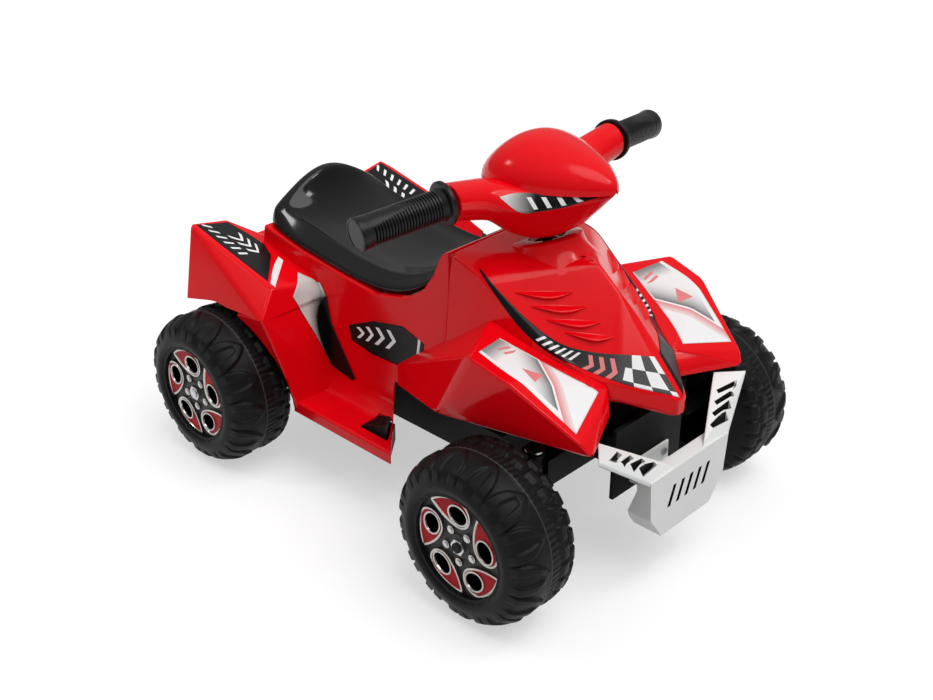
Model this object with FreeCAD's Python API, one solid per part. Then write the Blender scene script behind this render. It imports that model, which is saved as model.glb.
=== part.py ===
import FreeCAD, Part
import itertools
import math
import os

from FreeCAD import Vector

# Kids' battery quad bike. X forward, Y to the rider's left, Z up, millimetres.
# Sizes below are measured from the middle of the wheelbase, on the ground.

# Overall sizes
wheelbase = 468.0
wheel_radius = 100.0
tyre_width = 90.0
track_over_tyres = 510.0
bumper_front_x = 352.0
tail_rear_x = -330.0
wall = 3.0

# Clearances
seam = 0.4
running = 0.06
slip = 0.2
open_reach = 2.0

# Wheels
axle_radius = 6.0
rim_radius = 64.0
rim_wall = 4.0
rim_boss_radius = 13.0
rim_boss_reach = 7.0
rim_web_depth = 11.0
rim_web_thickness = 9.0
rim_boss_depth = 16.0
tyre_wall = 4.0
tread_blocks = 26
tread_slot_width = 7.0
tread_slot_depth = 2.5
cap_thickness = 3.0
cap_relief = 3.0
spoke_count = 5
spoke_head_radius = 14.0
spoke_head_at = 39.0
spoke_eye_radius = 9.0
spoke_sweep = 46.0
lug_bolt_radius = 3.5
lug_bolt_at = 21.0
nut_flats = 17.0
nut_height = 8.0
washer_radius = 11.0
washer_thickness = 2.0

# Steering
kingpin_y = 128.0
kingpin_top_z = 172.0
kingpin_boss_radius = 13.0
kingpin_bush_wall = 2.5
knuckle_arm_length = 60.0
knuckle_arm_width = 18.0
knuckle_arm_thickness = 6.0
knuckle_arm_top_z = 90.0
tie_pin_radius = 4.0
tie_rod_thickness = 6.0
tie_rod_width = 18.0
tie_slot_play_x = 5.0
tie_slot_play_y = 1.0
column_radius = 6.0
column_rake = 16.5
column_neck_x = 139.0
column_neck_z = 332.0
column_foot_z = 116.0
column_top_z = 420.0
crank_thickness = 6.0
crank_width = 18.0
column_bush_wall = 5.0
column_bush_length = 16.0
tower_side = 44.0
tower_top_z = 331.0

# Chassis
tub_half_width = 88.0
tub_floor_z = 82.0
tub_top_z = 128.0
tub_rear_x = -296.0
tub_front_x = 150.0
tub_wall = 3.5
beam_depth = 40.0
beam_bottom_z = 126.0
beam_top_z = 160.0
nose_wall_x = 294.0
nose_wall_thickness = 5.0
nose_wall_half_width = 62.0
nose_wall_bottom_z = 96.0
nose_wall_top_z = 185.0
spine_half_width = 45.0
post_radius = 8.0
carrier_radius = 14.0
carrier_reach_y = 150.0

# Main body
side_y = 98.0
side_break_z = 250.0
side_foot_y = 112.0
foot_fillet = 26.0
footboard_y = 174.5
footboard_top_z = 101.0
footboard_lip = 15.0
footboard_rear_x = -129.0
footboard_front_x = 51.5
toe_inner_x = -9.0
toe_top_z = 149.0
body_front_x = 74.5
tail_under_z = 190.0
tail_low_z = 132.0
tunnel_rear_x = -172.0
arch_radius = 108.0
arch_inner_y = 150.0
hatch_rear_x = -140.0
hatch_front_x = -34.0
hatch_half_width = 58.0

# Seat line along the body, from the tail deck to the top of the tank
tail_deck_z = 240.0
seat_line = [(-264.0, 278.0), (-190.0, 264.0), (-115.0, 255.0), (-48.0, 249.0),
             (0.0, 260.0), (30.0, 280.0), (48.0, 306.0), (60.0, 333.0)]
tank_top_z = 341.0

# Seat stations: x, half width, half width of the rim, rim over the seat line, middle over the rim,
# share of that rise at half the rim's width
seat_stations = [(-264.0, 82.0, 68.0, 24.0, 18.0, 0.5), (-258.0, 90.0, 78.0, 27.0, 38.0, 0.45),
                 (-244.0, 94.0, 78.0, 28.0, 33.0, 0.45), (-226.0, 96.0, 76.0, 27.0, 6.0, 0.6),
                 (-190.0, 97.0, 76.0, 24.0, -11.0, 0.8), (-115.0, 97.0, 76.0, 23.0, -13.0, 0.8),
                 (-48.0, 96.0, 75.0, 22.0, -13.0, 0.8), (0.0, 90.0, 70.0, 22.0, -11.0, 0.8),
                 (30.0, 80.0, 62.0, 20.0, -7.0, 0.8), (48.0, 66.0, 50.0, 12.0, -3.0, 0.8),
                 (57.0, 54.0, 42.0, 7.0, 0.5, 0.8)]
seat_lift = 0.8
seat_plinth = 4.0

# Rear fender corners, left side
rear_fender_top = [(-327.0, 168.0, 282.0), (-325.0, 113.0, 272.4), (-262.0, 80.0, 252.4),
                   (-162.0, 168.0, 244.0), (-162.0, 80.0, 229.5)]
rear_fender_low = [(-307.0, 197.0, 201.0), (-150.0, 197.0, 213.0), (-303.0, 113.0, 201.0),
                   (-262.0, 80.0, 203.0), (-150.0, 80.0, 213.0)]
slope_foot = [(-118.0, 174.5, 90.0), (-112.0, 100.0, 90.0)]
slope_back_x = -200.0

# Front cowl corners, left side
hood_nose_x = 333.0
hood_nose_z = 218.0
hood_nose_half_width = 8.0
hood_rim = [(281.0, 55.0, 238.0), (236.0, 79.5, 255.0), (192.0, 92.6, 276.0), (128.0, 98.0, 326.5)]
hood_lip = 20.0
hood_ridge = [(294.0, 0.0, 254.0), (248.0, 0.0, 309.0), (206.0, 0.0, 343.0)]
hood_rear_x = 75.0
hood_shoulder_y = 95.0
hood_rear_low_z = 180.0
fender_ridge_rear = (183.0, 180.0, 283.0)
fender_ridge_middle = (233.0, 176.0, 270.0)
fender_front_top = (313.0, 146.0, 213.0)
fender_front_low = (322.0, 139.0, 199.0)
fender_low_rear = (140.5, 185.0, 198.0)
fender_tip_top = (0.0, 112.5, 177.0)
fender_tip_low = (0.0, 113.0, 149.0)
fender_front_inner = (278.0, 60.0, 233.0)
fender_rear_inner = (120.0, 60.0, 280.0)

# Bumper
bumper_wall = 4.0
bumper_outline = [(73.0, 150.0), (69.0, 98.0), (47.0, 68.0)]
bumper_depth_top = 20.0
bumper_depth_low = 38.0
bumper_arm_thickness = 5.0
bumper_arm_rear_outer = (328.0, 136.0, 196.0)
bumper_arm_rear_inner = (303.0, 107.0, 196.0)
bumper_arm_front_inner_y = 27.0
bumper_slots = 4
bumper_slot_width = 5.0
louvre_count = 5
louvre_height = 26.0
louvre_width = 6.0
louvre_pitch = 16.0
louvre_slant = 9.0

# Handlebar
cover_front_x = 229.0
cover_rear_x = 58.0
cover_front_z = 425.0
cover_rear_z = 418.0
dome_sections = [(58.0, 18.0, 5.0), (72.0, 44.0, 25.0), (90.0, 59.0, 42.0), (112.0, 66.0, 51.8),
                 (140.0, 62.0, 48.0), (170.0, 51.0, 39.5), (202.0, 32.0, 27.5), (226.0, 8.0, 12.0)]
cover_crease = (157.0, 70.0, 403.0)
cover_neck = [(190.0, 20.0, 388.0), (166.0, 31.0, 362.0), (122.0, 38.0, 354.0), (84.0, 34.0, 362.0),
              (72.0, 40.0, 394.0)]
cover_boss_radius = 12.0
arm_root = (104.0, 42.0, 402.0)
arm_root_radius = 25.0
arm_end_radius = 22.0
grip_start = (111.0, 137.5, 423.0)
grip_end = (88.0, 246.0, 412.0)
grip_radius = 16.5
grip_flange_radius = 24.0
grip_flange_thickness = 7.0
grip_bar_radius = 11.0
grip_ribs = 14
grip_rib_pitch = 5.0
grip_rib_depth = 1.4
grip_cap_thickness = 6.0
cross_bolt_radius = 3.0

# Drive
gear_pressure_angle = 25.0
output_module = 1.25
output_teeth = 48
small_teeth = 12
first_module = 0.8
first_teeth = 42
pinion_teeth = 12
gear_backlash = 0.16
gear_face = 10.0
gear_pin_radius = 3.0
gear_side_gap = 1.5
gearbox_inner_y = 92.0
gearbox_wall = 3.0
motor_radius = 14.0
motor_length = 40.0
motor_shaft_radius = 1.5
dog_radius = 11.0

# Pedal
pedal_rear_x = -20.0
pedal_front_x = 24.0
pedal_inner_y = 126.0
pedal_outer_y = 156.0
pedal_front_slant = 24.0
pedal_rise = 15.0
pedal_pin_radius = 2.5
pedal_gap = 2.0
pedal_grooves = 4
plunger_gap = 3.8
leaf_thickness = 0.8
leaf_width = 6.0
leaf_reach = 11.0
pedal_box_floor_z = 76.0

# Battery, leads and socket
battery_size = (70.0, 47.0, 106.0)
battery_rear_x = -122.0
strap_width = 16.0
strap_thickness = 2.0
lead_radius = 2.0
lead_bend = 8.0
lead_lane_y = -58.0
socket_x = -60.0
socket_z = 200.0
socket_bore = 2.75
socket_depth = 12.0
socket_body_radius = 7.0
socket_flange_radius = 11.0
screw_radius = 2.0
screw_head_radius = 4.5
screw_head_height = 2.5

# Values worked out from the sizes
axle_z = wheel_radius
front_axle_x = wheelbase / 2
rear_axle_x = -wheelbase / 2
tyre_outer_y = track_over_tyres / 2
origin_shift = Vector(-(bumper_front_x + rear_axle_x - wheel_radius) / 2, 0, 0)
rake = math.radians(column_rake)
column_way = Vector(-math.sin(rake), 0, math.cos(rake))
tie_rod_x = front_axle_x - knuckle_arm_length
tie_rod_top_z = knuckle_arm_top_z - knuckle_arm_thickness - seam
tie_rod_bottom_z = tie_rod_top_z - tie_rod_thickness
footboard_bottom_z = footboard_top_z - footboard_lip
bumper_back_x = bumper_front_x - bumper_wall
up = Vector(0, 0, 1)
left = Vector(0, 1, 0)
forward = Vector(1, 0, 0)


def box(x0, x1, y0, y1, z0, z1):
    return Part.makeBox(x1 - x0, y1 - y0, z1 - z0, Vector(x0, y0, z0))


def rod(start, end, radius):
    start = Vector(*start)
    way = Vector(*end) - start
    return Part.makeCylinder(radius, way.Length, start, way)


def cone(start, end, radius_start, radius_end):
    start = Vector(*start)
    way = Vector(*end) - start
    return Part.makeCone(radius_start, radius_end, way.Length, start, way)


def mirrored(shape):
    return shape.mirror(Vector(0, 0, 0), left)


def fused(shapes):
    return shapes[0].multiFuse(list(shapes[1:]))


def both_sides(shape):
    return [shape, mirrored(shape)]


def mirrored_points(points):
    return list(points) + [(x, -y, z) for x, y, z in points]


def face_of(points):
    return Part.Face(Part.makePolygon([Vector(*p) for p in points] + [Vector(*points[0])]))


def side_prism(points, y0, y1):
    """Outline of (x, z) points, from y0 to y1."""
    return face_of([(x, y0, z) for x, z in points]).extrude(Vector(0, y1 - y0, 0))


def plan_prism(points, z0, z1):
    """Outline of (x, y) points, from z0 to z1."""
    return face_of([(x, y, z0) for x, y in points]).extrude(Vector(0, 0, z1 - z0))


def front_prism(points, x0, x1):
    """Outline of (y, z) points, from x0 to x1."""
    return face_of([(x0, y, z) for y, z in points]).extrude(Vector(x1 - x0, 0, 0))


def hull_planes(points):
    """Outward planes of the convex hull of a few points, as (normal, offset)."""
    corners = [Vector(*p) for p in points]
    planes = []
    for a, b, c in itertools.combinations(corners, 3):
        normal = (b - a).cross(c - a)
        if normal.Length < 1e-6:
            continue
        normal.normalize()
        heights = [normal.dot(p - a) for p in corners]
        if max(heights) > 1e-5 and min(heights) < -1e-5:
            continue
        if max(heights) > 1e-5:
            normal = -normal
        offset = normal.dot(a)
        known = [n for n, d in planes if n.dot(normal) > 1 - 1e-10 and abs(d - offset) < 1e-4]
        if not known:
            planes.append((normal, offset))
    return planes


def planes_solid(planes):
    """Convex solid inside all the planes."""
    corners = []
    for (n1, d1), (n2, d2), (n3, d3) in itertools.combinations(planes, 3):
        divisor = n1.dot(n2.cross(n3))
        if abs(divisor) < 1e-7:
            continue
        point = (n2.cross(n3) * d1 + n3.cross(n1) * d2 + n1.cross(n2) * d3) * (1 / divisor)
        if any(n.dot(point) > d + 1e-6 for n, d in planes):
            continue
        if all((point - other).Length > 1e-4 for other in corners):
            corners.append(point)
    faces = []
    for normal, offset in planes:
        ring = [p for p in corners if abs(normal.dot(p) - offset) < 1e-5]
        if len(ring) < 3:
            continue
        middle = sum(ring, Vector()) * (1 / len(ring))
        first = (ring[0] - middle).normalize()
        second = normal.cross(first)
        ring.sort(key=lambda p: math.atan2((p - middle).dot(second), (p - middle).dot(first)))
        faces.append(Part.Face(Part.makePolygon(ring + [ring[0]])))
    shell = Part.makeShell(faces)
    shell.sewShape()
    return Part.makeSolid(shell.Shells[0])


def hull(points):
    return planes_solid(hull_planes(points))


def hull_inside(points, thickness, is_open):
    """Room inside a hull. Faces whose normal is_open accepts are left open."""
    room = []
    for normal, offset in hull_planes(points):
        room.append((normal, offset + open_reach if is_open(normal) else offset - thickness))
    return planes_solid(room)


def offset_line(points, distance):
    """Open polyline moved sideways, to the right of its way for a positive distance."""
    moved = []
    edges = []
    for (x0, z0), (x1, z1) in zip(points, points[1:]):
        length = math.hypot(x1 - x0, z1 - z0)
        dx, dz = (x1 - x0) / length, (z1 - z0) / length
        edges.append((x0 + dz * distance, z0 - dx * distance, dx, dz))
    moved.append(edges[0][:2])
    for (xa, za, ua, va), (xb, zb, ub, vb) in zip(edges, edges[1:]):
        cross = ua * vb - va * ub
        reach = ((xb - xa) * vb - (zb - za) * ub) / cross
        moved.append((xa + ua * reach, za + va * reach))
    x, z = points[-1]
    moved.append((x + edges[-1][3] * distance, z - edges[-1][2] * distance))
    return moved


def turned(points, x, z):
    """Solid of revolution about a cross axis, from (y, radius) points."""
    outline = face_of([(x, y, z + radius) for y, radius in points])
    return outline.revolve(Vector(x, 0, z), left, 360)


def screw(head_at, way, length):
    """Pan head screw: its shank runs along way from the underside of the head."""
    head_at = Vector(*head_at)
    way = Vector(*way).normalize()
    shank = Part.makeCylinder(screw_radius, length, head_at, way)
    head = Part.makeCylinder(screw_head_radius, screw_head_height, head_at, -way)
    return shank.fuse(head)


def screw_hole(head_at, way, length):
    head_at = Vector(*head_at)
    way = Vector(*way).normalize()
    return Part.makeCylinder(screw_radius + slip, length + slip, head_at - way * slip, way)


def on_column(height):
    """Point of the steering axis at a height."""
    return Vector(column_neck_x - (height - column_neck_z) * math.tan(rake), 0, height)


def lead(points):
    """Round wire through straight runs and tangent bends."""
    corners = [Vector(*p) for p in points]
    edges = []
    at = corners[0]
    for before, corner, after in zip(corners, corners[1:], corners[2:]):
        back = (before - corner).normalize()
        on = (after - corner).normalize()
        half = back.getAngle(on) / 2
        reach = lead_bend / math.tan(half)
        enter = corner + back * reach
        leave = corner + on * reach
        middle = corner + (back + on).normalize() * (lead_bend / math.sin(half) - lead_bend)
        edges.append(Part.makeLine(at, enter))
        edges.append(Part.Arc(enter, middle, leave).toShape())
        at = leave
    edges.append(Part.makeLine(at, corners[-1]))
    section = Part.Wire(Part.makeCircle(lead_radius, corners[0], corners[1] - corners[0]))
    return Part.Wire(edges).makePipeShell([section], True, True)


# Wheels: built for the left side about the origin, then set in place

def tyre():
    bead = rim_radius + seam
    outer = tyre_outer_y
    inner = tyre_outer_y - tyre_width
    top = wheel_radius
    outline = [(inner + 3, bead), (inner, bead + 15), (inner + 7, top - 8), (inner + 17, top),
               (outer - 30, top), (outer - 16, top - 3.5), (outer - 4, top - 14), (outer, top - 25),
               (outer - 3, bead),
               (outer - 3 - tyre_wall, bead), (outer - tyre_wall, top - 25),
               (outer - 3 - tyre_wall, top - 16), (outer - 17.5, top - 3.5 - tyre_wall),
               (outer - 31, top - tyre_wall), (inner + 18.5, top - tyre_wall),
               (inner + 7 + tyre_wall, top - 8 - 0.6 * tyre_wall), (inner + tyre_wall, bead + 15),
               (inner + 3 + tyre_wall, bead)]
    body = turned(outline, 0, 0)
    slots = []
    middle = (inner + 17 + outer - 30) / 2
    for index in range(tread_blocks):
        for y0, y1, phase in ((inner + 4, middle - 3, 0.0), (middle + 3, outer - 14, 0.5)):
            slot = box(-tread_slot_width / 2, tread_slot_width / 2, y0, y1,
                       top - tread_slot_depth, top + 5)
            slot.rotate(Vector(), left, (index + phase) * 360 / tread_blocks)
            slots.append(slot)
    return body.cut(Part.makeCompound(slots))


def rim():
    outer = tyre_outer_y
    inner = tyre_outer_y - tyre_width
    bore = axle_radius + running
    web = outer - rim_web_depth
    web_back = web - rim_web_thickness
    boss_face = outer - rim_boss_depth
    barrel = rim_radius - rim_wall
    outline = [(outer - 3, rim_radius), (inner + 3, rim_radius), (inner + 3, barrel), (web_back, barrel),
               (web_back, rim_boss_radius), (inner - rim_boss_reach, rim_boss_radius),
               (inner - rim_boss_reach, bore), (boss_face, bore), (boss_face, rim_boss_radius),
               (web, rim_boss_radius), (web, barrel), (outer - 3, barrel)]
    return turned(outline, 0, 0)


def spoke(angle, y0, y1):
    """Comma shaped spoke: a round head with an eye and a tail that thins along the edge."""
    edge = spoke_head_at + spoke_head_radius + 1

    def at(radius, degrees):
        turn = math.radians(angle + degrees)
        return Vector(radius * math.sin(turn), y0, radius * math.cos(turn))

    head = rod(at(spoke_head_at, 0), at(spoke_head_at, 0) + Vector(0, y1 - y0, 0), spoke_head_radius)
    outer_arc = Part.Arc(at(edge, 0), at(edge, -spoke_sweep / 2), at(edge, -spoke_sweep)).toShape()
    inner_turn = at(spoke_head_at + 4, -0.55 * spoke_sweep)
    inner_arc = Part.Arc(at(edge, -spoke_sweep), inner_turn, at(26, 0)).toShape()
    close = Part.makeLine(at(26, 0), at(edge, 0))
    tail = Part.Face(Part.Wire([outer_arc, inner_arc, close])).extrude(Vector(0, y1 - y0, 0))
    eye = rod(at(spoke_head_at, 0), at(spoke_head_at, 0) + Vector(0, y1 - y0, 0), spoke_eye_radius)
    return head.fuse(tail).cut(eye)


def hub_cap():
    back = tyre_outer_y - rim_web_depth + seam
    face = back + cap_thickness
    edge = rim_radius - rim_wall - seam
    disc = rod((0, back, 0), (0, face, 0), edge)
    ring = rod((0, face - 1, 0), (0, face + 2, 0), edge)
    ring = ring.cut(rod((0, face - 1, 0), (0, face + 2, 0), edge - 4))
    pieces = [disc, ring]
    for index in range(spoke_count):
        angle = index * 360 / spoke_count
        pieces.append(spoke(angle, face - 1, face + cap_relief))
        turn = math.radians(angle + 180 / spoke_count)
        x, z = lug_bolt_at * math.sin(turn), lug_bolt_at * math.cos(turn)
        pieces.append(rod((x, face - 1, z), (x, face + cap_relief, z), lug_bolt_radius))
    bore = rod((0, back - 1, 0), (0, face + cap_relief + 1, 0), rim_boss_radius + seam)
    return fused(pieces).cut(bore).removeSplitter()


def axle_nut():
    start = tyre_outer_y - rim_boss_depth + seam
    washer_end = start + washer_thickness
    nut_start = washer_end + slip
    corner = nut_flats / math.sqrt(3)
    turns = [math.radians(60 * index) for index in range(6)]
    ring = [(corner * math.cos(turn), corner * math.sin(turn)) for turn in turns]
    nut = side_prism(ring, nut_start, nut_start + nut_height)
    bore = rod((0, start - 1, 0), (0, nut_start + nut_height + 1, 0), axle_radius + running)
    washer = rod((0, start, 0), (0, washer_end, 0), washer_radius)
    return Part.makeCompound([washer.cut(bore), nut.cut(bore)])


axle_end_y = tyre_outer_y - rim_boss_depth + seam + washer_thickness + slip + nut_height + 2


# Chassis and steering

def chassis_frame():
    tub = box(tub_rear_x, tub_front_x, -tub_half_width, tub_half_width, tub_floor_z, tub_top_z)
    inside = box(tub_rear_x + tub_wall, tub_front_x - tub_wall, -tub_half_width + tub_wall,
                 tub_half_width - tub_wall, tub_floor_z + tub_wall, tub_top_z + 1)
    tub = tub.cut(inside)
    spine = box(tub_front_x - tub_wall, nose_wall_x - nose_wall_thickness, -spine_half_width,
                spine_half_width, beam_bottom_z, beam_top_z)
    room = box(tub_front_x + tub_wall, front_axle_x - beam_depth / 2, -spine_half_width + tub_wall,
               spine_half_width - tub_wall, beam_bottom_z + tub_wall, beam_top_z + 1)
    front_room = box(front_axle_x + beam_depth / 2, nose_wall_x - nose_wall_thickness,
                     -spine_half_width + tub_wall, spine_half_width - tub_wall,
                     beam_bottom_z + tub_wall, beam_top_z + 1)
    beam = box(front_axle_x - beam_depth / 2, front_axle_x + beam_depth / 2, -kingpin_y, kingpin_y,
               beam_bottom_z, beam_top_z)
    nose = box(nose_wall_x - nose_wall_thickness, nose_wall_x, -nose_wall_half_width,
               nose_wall_half_width, nose_wall_bottom_z, nose_wall_top_z)
    step = box(tub_front_x - tub_wall, tub_front_x, -spine_half_width, spine_half_width,
               tub_top_z - tub_wall, beam_top_z)
    foot = on_column(beam_bottom_z + tub_wall)
    top = on_column(tower_top_z)
    tower = Part.makeBox(tower_side, tower_side, (top - foot).Length,
                         Vector(-tower_side / 2, -tower_side / 2, 0))
    tower.Placement = FreeCAD.Placement(foot, FreeCAD.Rotation(left, -column_rake))
    pieces = [tub, spine.cut(room).cut(front_room), beam, nose, step, tower]
    for side in (1, -1):
        pieces.append(rod((front_axle_x, side * kingpin_y, beam_bottom_z - 14),
                          (front_axle_x, side * kingpin_y, kingpin_top_z - 7), kingpin_boss_radius))
        for x in (post_rear_x, post_front_x):
            pieces.append(rod((x, side * post_y, tub_floor_z + 1),
                              (x, side * post_y, post_top(x)), post_radius))
    pieces.append(rod((rear_axle_x, tub_half_width - tub_wall, axle_z),
                      (rear_axle_x, carrier_reach_y, axle_z), carrier_radius))
    pieces.append(rod((rear_axle_x, -tub_half_width + 1, axle_z),
                      (rear_axle_x, -tub_half_width + tub_wall + carrier_radius, axle_z), carrier_radius))
    frame = fused(pieces)
    cuts = [rod((rear_axle_x, -300, axle_z), (rear_axle_x, 300, axle_z), axle_radius + slip),
            rod((motor_x, -tub_half_width - 1, axle_z), (motor_x, -tub_half_width + tub_wall + 1, axle_z),
                motor_radius + seam),
            rod(on_column(beam_bottom_z - 20), on_column(tower_top_z + 20), column_radius + 3)]
    bush_radius = column_radius + running + column_bush_wall + slip
    cuts.append(rod(on_column(tower_top_z) - column_way * column_bush_length,
                    on_column(tower_top_z + 20), bush_radius))
    cuts.append(rod(on_column(beam_bottom_z - 20),
                    on_column(beam_bottom_z) + column_way * column_bush_length, bush_radius))
    for side in (1, -1):
        cuts.append(rod((front_axle_x, side * kingpin_y, 0), (front_axle_x, side * kingpin_y, 300),
                        axle_radius + running + kingpin_bush_wall + slip))
    for hole in body_screw_places() + bumper_screw_places() + gearbox_screw_places() + cowl_screw_places():
        cuts.append(screw_hole(*hole))
    return frame.cut(Part.makeCompound(cuts))


def column_bush(at_top):
    radius = column_radius + running
    if at_top:
        start = on_column(tower_top_z) - column_way * (column_bush_length - slip)
        flange_start = on_column(tower_top_z) + column_way * slip
        end = flange_start + column_way * 2
    else:
        start = on_column(beam_bottom_z) - column_way * 1
        flange_start = start
        end = on_column(beam_bottom_z) + column_way * (column_bush_length - slip)
    sleeve = rod(start, end, radius + column_bush_wall)
    if at_top:
        sleeve = sleeve.fuse(rod(flange_start, end, radius + column_bush_wall + 2))
    return sleeve.cut(rod(start - column_way * 5, end + column_way * 5, radius))


def steering_column():
    foot = on_column(column_foot_z)
    shaft = rod(foot, on_column(column_top_z), column_radius)
    pin_top_z = tie_rod_top_z + 14
    pin_at = Vector(tie_rod_x, 0, 0)
    back = Vector(tie_rod_x, 0, pin_top_z) - foot
    crank_length = back.Length
    crank = Part.makeBox(crank_length, crank_width, crank_thickness,
                         Vector(0, -crank_width / 2, -crank_thickness / 2))
    angle = math.degrees(math.atan2(-back.z, back.x))
    crank.Placement = FreeCAD.Placement(foot, FreeCAD.Rotation(left, angle))
    boss = rod(foot - column_way * 4, foot + column_way * 4, crank_width / 2)
    end = rod(pin_at + up * (pin_top_z - 4), pin_at + up * (pin_top_z + 4), crank_width / 2)
    pin = rod(pin_at + up * (tie_rod_bottom_z - 2), pin_at + up * pin_top_z, tie_pin_radius)
    bolt_at = on_column(cross_bolt_z)
    hole = rod(bolt_at - left * 20, bolt_at + left * 20, cross_bolt_radius + slip)
    return fused([shaft, crank, boss, end, pin]).cut(hole).removeSplitter()


def knuckle():
    """Left knuckle: king pin, stub axle, collar and steering arm with the tie rod's pin."""
    base = Vector(front_axle_x, kingpin_y, 0)
    arm_bottom = knuckle_arm_top_z - knuckle_arm_thickness
    boss_bottom = beam_bottom_z - 14
    pin = rod(base + up * arm_bottom, base + up * kingpin_top_z, axle_radius)
    stub = rod((front_axle_x, kingpin_y, axle_z), (front_axle_x, axle_end_y, axle_z), axle_radius)
    collar_end = tyre_outer_y - tyre_width - rim_boss_reach - seam
    collar = rod((front_axle_x, kingpin_y + 6, axle_z), (front_axle_x, collar_end, axle_z), axle_radius + 4)
    block = rod(base + up * arm_bottom, base + up * (boss_bottom - 1 - seam), axle_radius + 4)
    arm = box(tie_rod_x, front_axle_x, kingpin_y - knuckle_arm_width / 2, kingpin_y + knuckle_arm_width / 2,
              arm_bottom, knuckle_arm_top_z)
    tie_at = Vector(tie_rod_x, kingpin_y, 0)
    arm_end = rod(tie_at + up * arm_bottom, tie_at + up * knuckle_arm_top_z, knuckle_arm_width / 2)
    tie_pin = rod(tie_at + up * (tie_rod_bottom_z - 4), tie_at + up * knuckle_arm_top_z, tie_pin_radius)
    return fused([pin, stub, collar, block, arm, arm_end, tie_pin]).removeSplitter()


def kingpin_bushes():
    bushes = []
    inner = axle_radius + running
    bottom = beam_bottom_z - 14
    top = kingpin_top_z - 7
    for side in (1, -1):
        at = Vector(front_axle_x, side * kingpin_y, 0)
        for start, end, flange in ((bottom, bottom + 14, bottom - 1), (top - 14, top, top + 1)):
            low, high = min(start, flange), max(end, flange)
            sleeve = rod(at + up * low, at + up * high, inner + kingpin_bush_wall)
            bushes.append(sleeve.cut(rod(at + up * (low - 1), at + up * (high + 1), inner)))
    return Part.makeCompound(bushes)


def kingpin_clip():
    at = Vector(front_axle_x, kingpin_y, kingpin_top_z - 7 + 1 + seam)
    return rod(at, at + up * 2, axle_radius + 5).cut(rod(at - up, at + up * 3, axle_radius + running))


def tie_rod():
    half = tie_rod_width / 2
    bar = box(tie_rod_x - half, tie_rod_x + half, -kingpin_y, kingpin_y, tie_rod_bottom_z, tie_rod_top_z)
    pieces = [bar]
    cuts = []
    for side in (1, -1):
        at = Vector(tie_rod_x, side * kingpin_y, 0)
        pieces.append(rod(at + up * tie_rod_bottom_z, at + up * tie_rod_top_z, half))
        cuts.append(rod(at, at + up * 200, tie_pin_radius + running))
    slot_x = tie_pin_radius + tie_slot_play_x
    slot_y = tie_pin_radius + tie_slot_play_y
    eye = rod((tie_rod_x, 0, tie_rod_bottom_z), (tie_rod_x, 0, tie_rod_top_z), slot_x + 7)
    cuts.append(box(tie_rod_x - slot_x, tie_rod_x + slot_x, -slot_y, slot_y,
                    tie_rod_bottom_z - 1, tie_rod_top_z + 1))
    return fused(pieces + [eye]).cut(Part.makeCompound(cuts)).removeSplitter()


def tie_clip():
    at = Vector(tie_rod_x, kingpin_y, tie_rod_bottom_z - seam)
    return rod(at - up * 2, at, tie_pin_radius + 4).cut(rod(at - up * 5, at + up, tie_pin_radius + running))


# Main body

def seat_height(x):
    """Height of the body's seat line."""
    for (x0, z0), (x1, z1) in zip(seat_line, seat_line[1:]):
        if x0 <= x <= x1:
            return z0 + (z1 - z0) * (x - x0) / (x1 - x0)
    return tail_deck_z


def body_top_line():
    deck_front = seat_line[0][0] - 6
    return ([(tail_rear_x + 5, tail_deck_z), (deck_front, tail_deck_z)] + seat_line
            + [(body_front_x - 4, tank_top_z), (body_front_x, tank_top_z)])


def body_profile(inset):
    """Side outline of the body, drawn in by inset from its top and rear."""
    line = offset_line(body_top_line(), inset)
    rear_x, rear_z = line[0]
    front_x, front_z = line[-1]
    rear = rear_x + inset
    reach = 30 if inset else 0
    return ([(rear + 28, 40), (rear + 28, tail_under_z), (rear, rear_z)] + line[1:]
            + [(front_x + reach, front_z), (front_x + reach, 40)])


def side_section(inset, bottom):
    """Outline across the body: side wall, fillet and footboard, drawn in by inset."""
    radius = foot_fillet + inset
    centre = Vector(0, side_foot_y + foot_fillet, footboard_top_z + foot_fillet)
    wall_y = side_foot_y - inset
    diagonal = radius * math.sqrt(0.5)
    start = Vector(0, wall_y, centre.z)
    middle = Vector(0, centre.y - diagonal, centre.z - diagonal)
    end = Vector(0, centre.y, footboard_top_z - inset)
    top = [Vector(0, 0, 500), Vector(0, side_y - inset, 500), Vector(0, side_y - inset, side_break_z), start]
    low = [end, Vector(0, footboard_y - inset, footboard_top_z - inset),
           Vector(0, footboard_y - inset, bottom), Vector(0, 0, bottom), Vector(0, 0, 500)]
    edges = [Part.makeLine(a, b) for a, b in zip(top, top[1:])]
    edges.append(Part.Arc(start, middle, end).toShape())
    edges += [Part.makeLine(a, b) for a, b in zip(low, low[1:])]
    return Part.Face(Part.Wire(edges))


def middle_block(inset, x0, x1, bottom):
    section = side_section(inset, bottom)
    section.translate(Vector(x0, 0, 0))
    return fused(both_sides(section.extrude(Vector(x1 - x0, 0, 0))))


def tunnel_block(inset, x0, x1, bottom):
    """Stretch of the body without its footboards, between the tail and the footwells."""
    ring = [(0, 500), (side_y - inset, 500), (side_y - inset, side_break_z),
            (side_foot_y - inset, footboard_top_z + foot_fillet), (side_foot_y - inset, bottom), (0, bottom)]
    return fused(both_sides(front_prism(ring, x0, x1)))


def slope_points():
    """Corners of the block whose front is the slope from the rear fender to the footboard."""
    top_outer, top_inner = rear_fender_top[-2:]
    low_front = rear_fender_low[1]
    back = [(slope_back_x, y, z - 9) for x, y, z in (top_outer, top_inner, low_front)]
    foot_back = [(x - 40, y, z) for x, y, z in slope_foot]
    return [top_outer, top_inner, low_front] + slope_foot + back + foot_back


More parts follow.
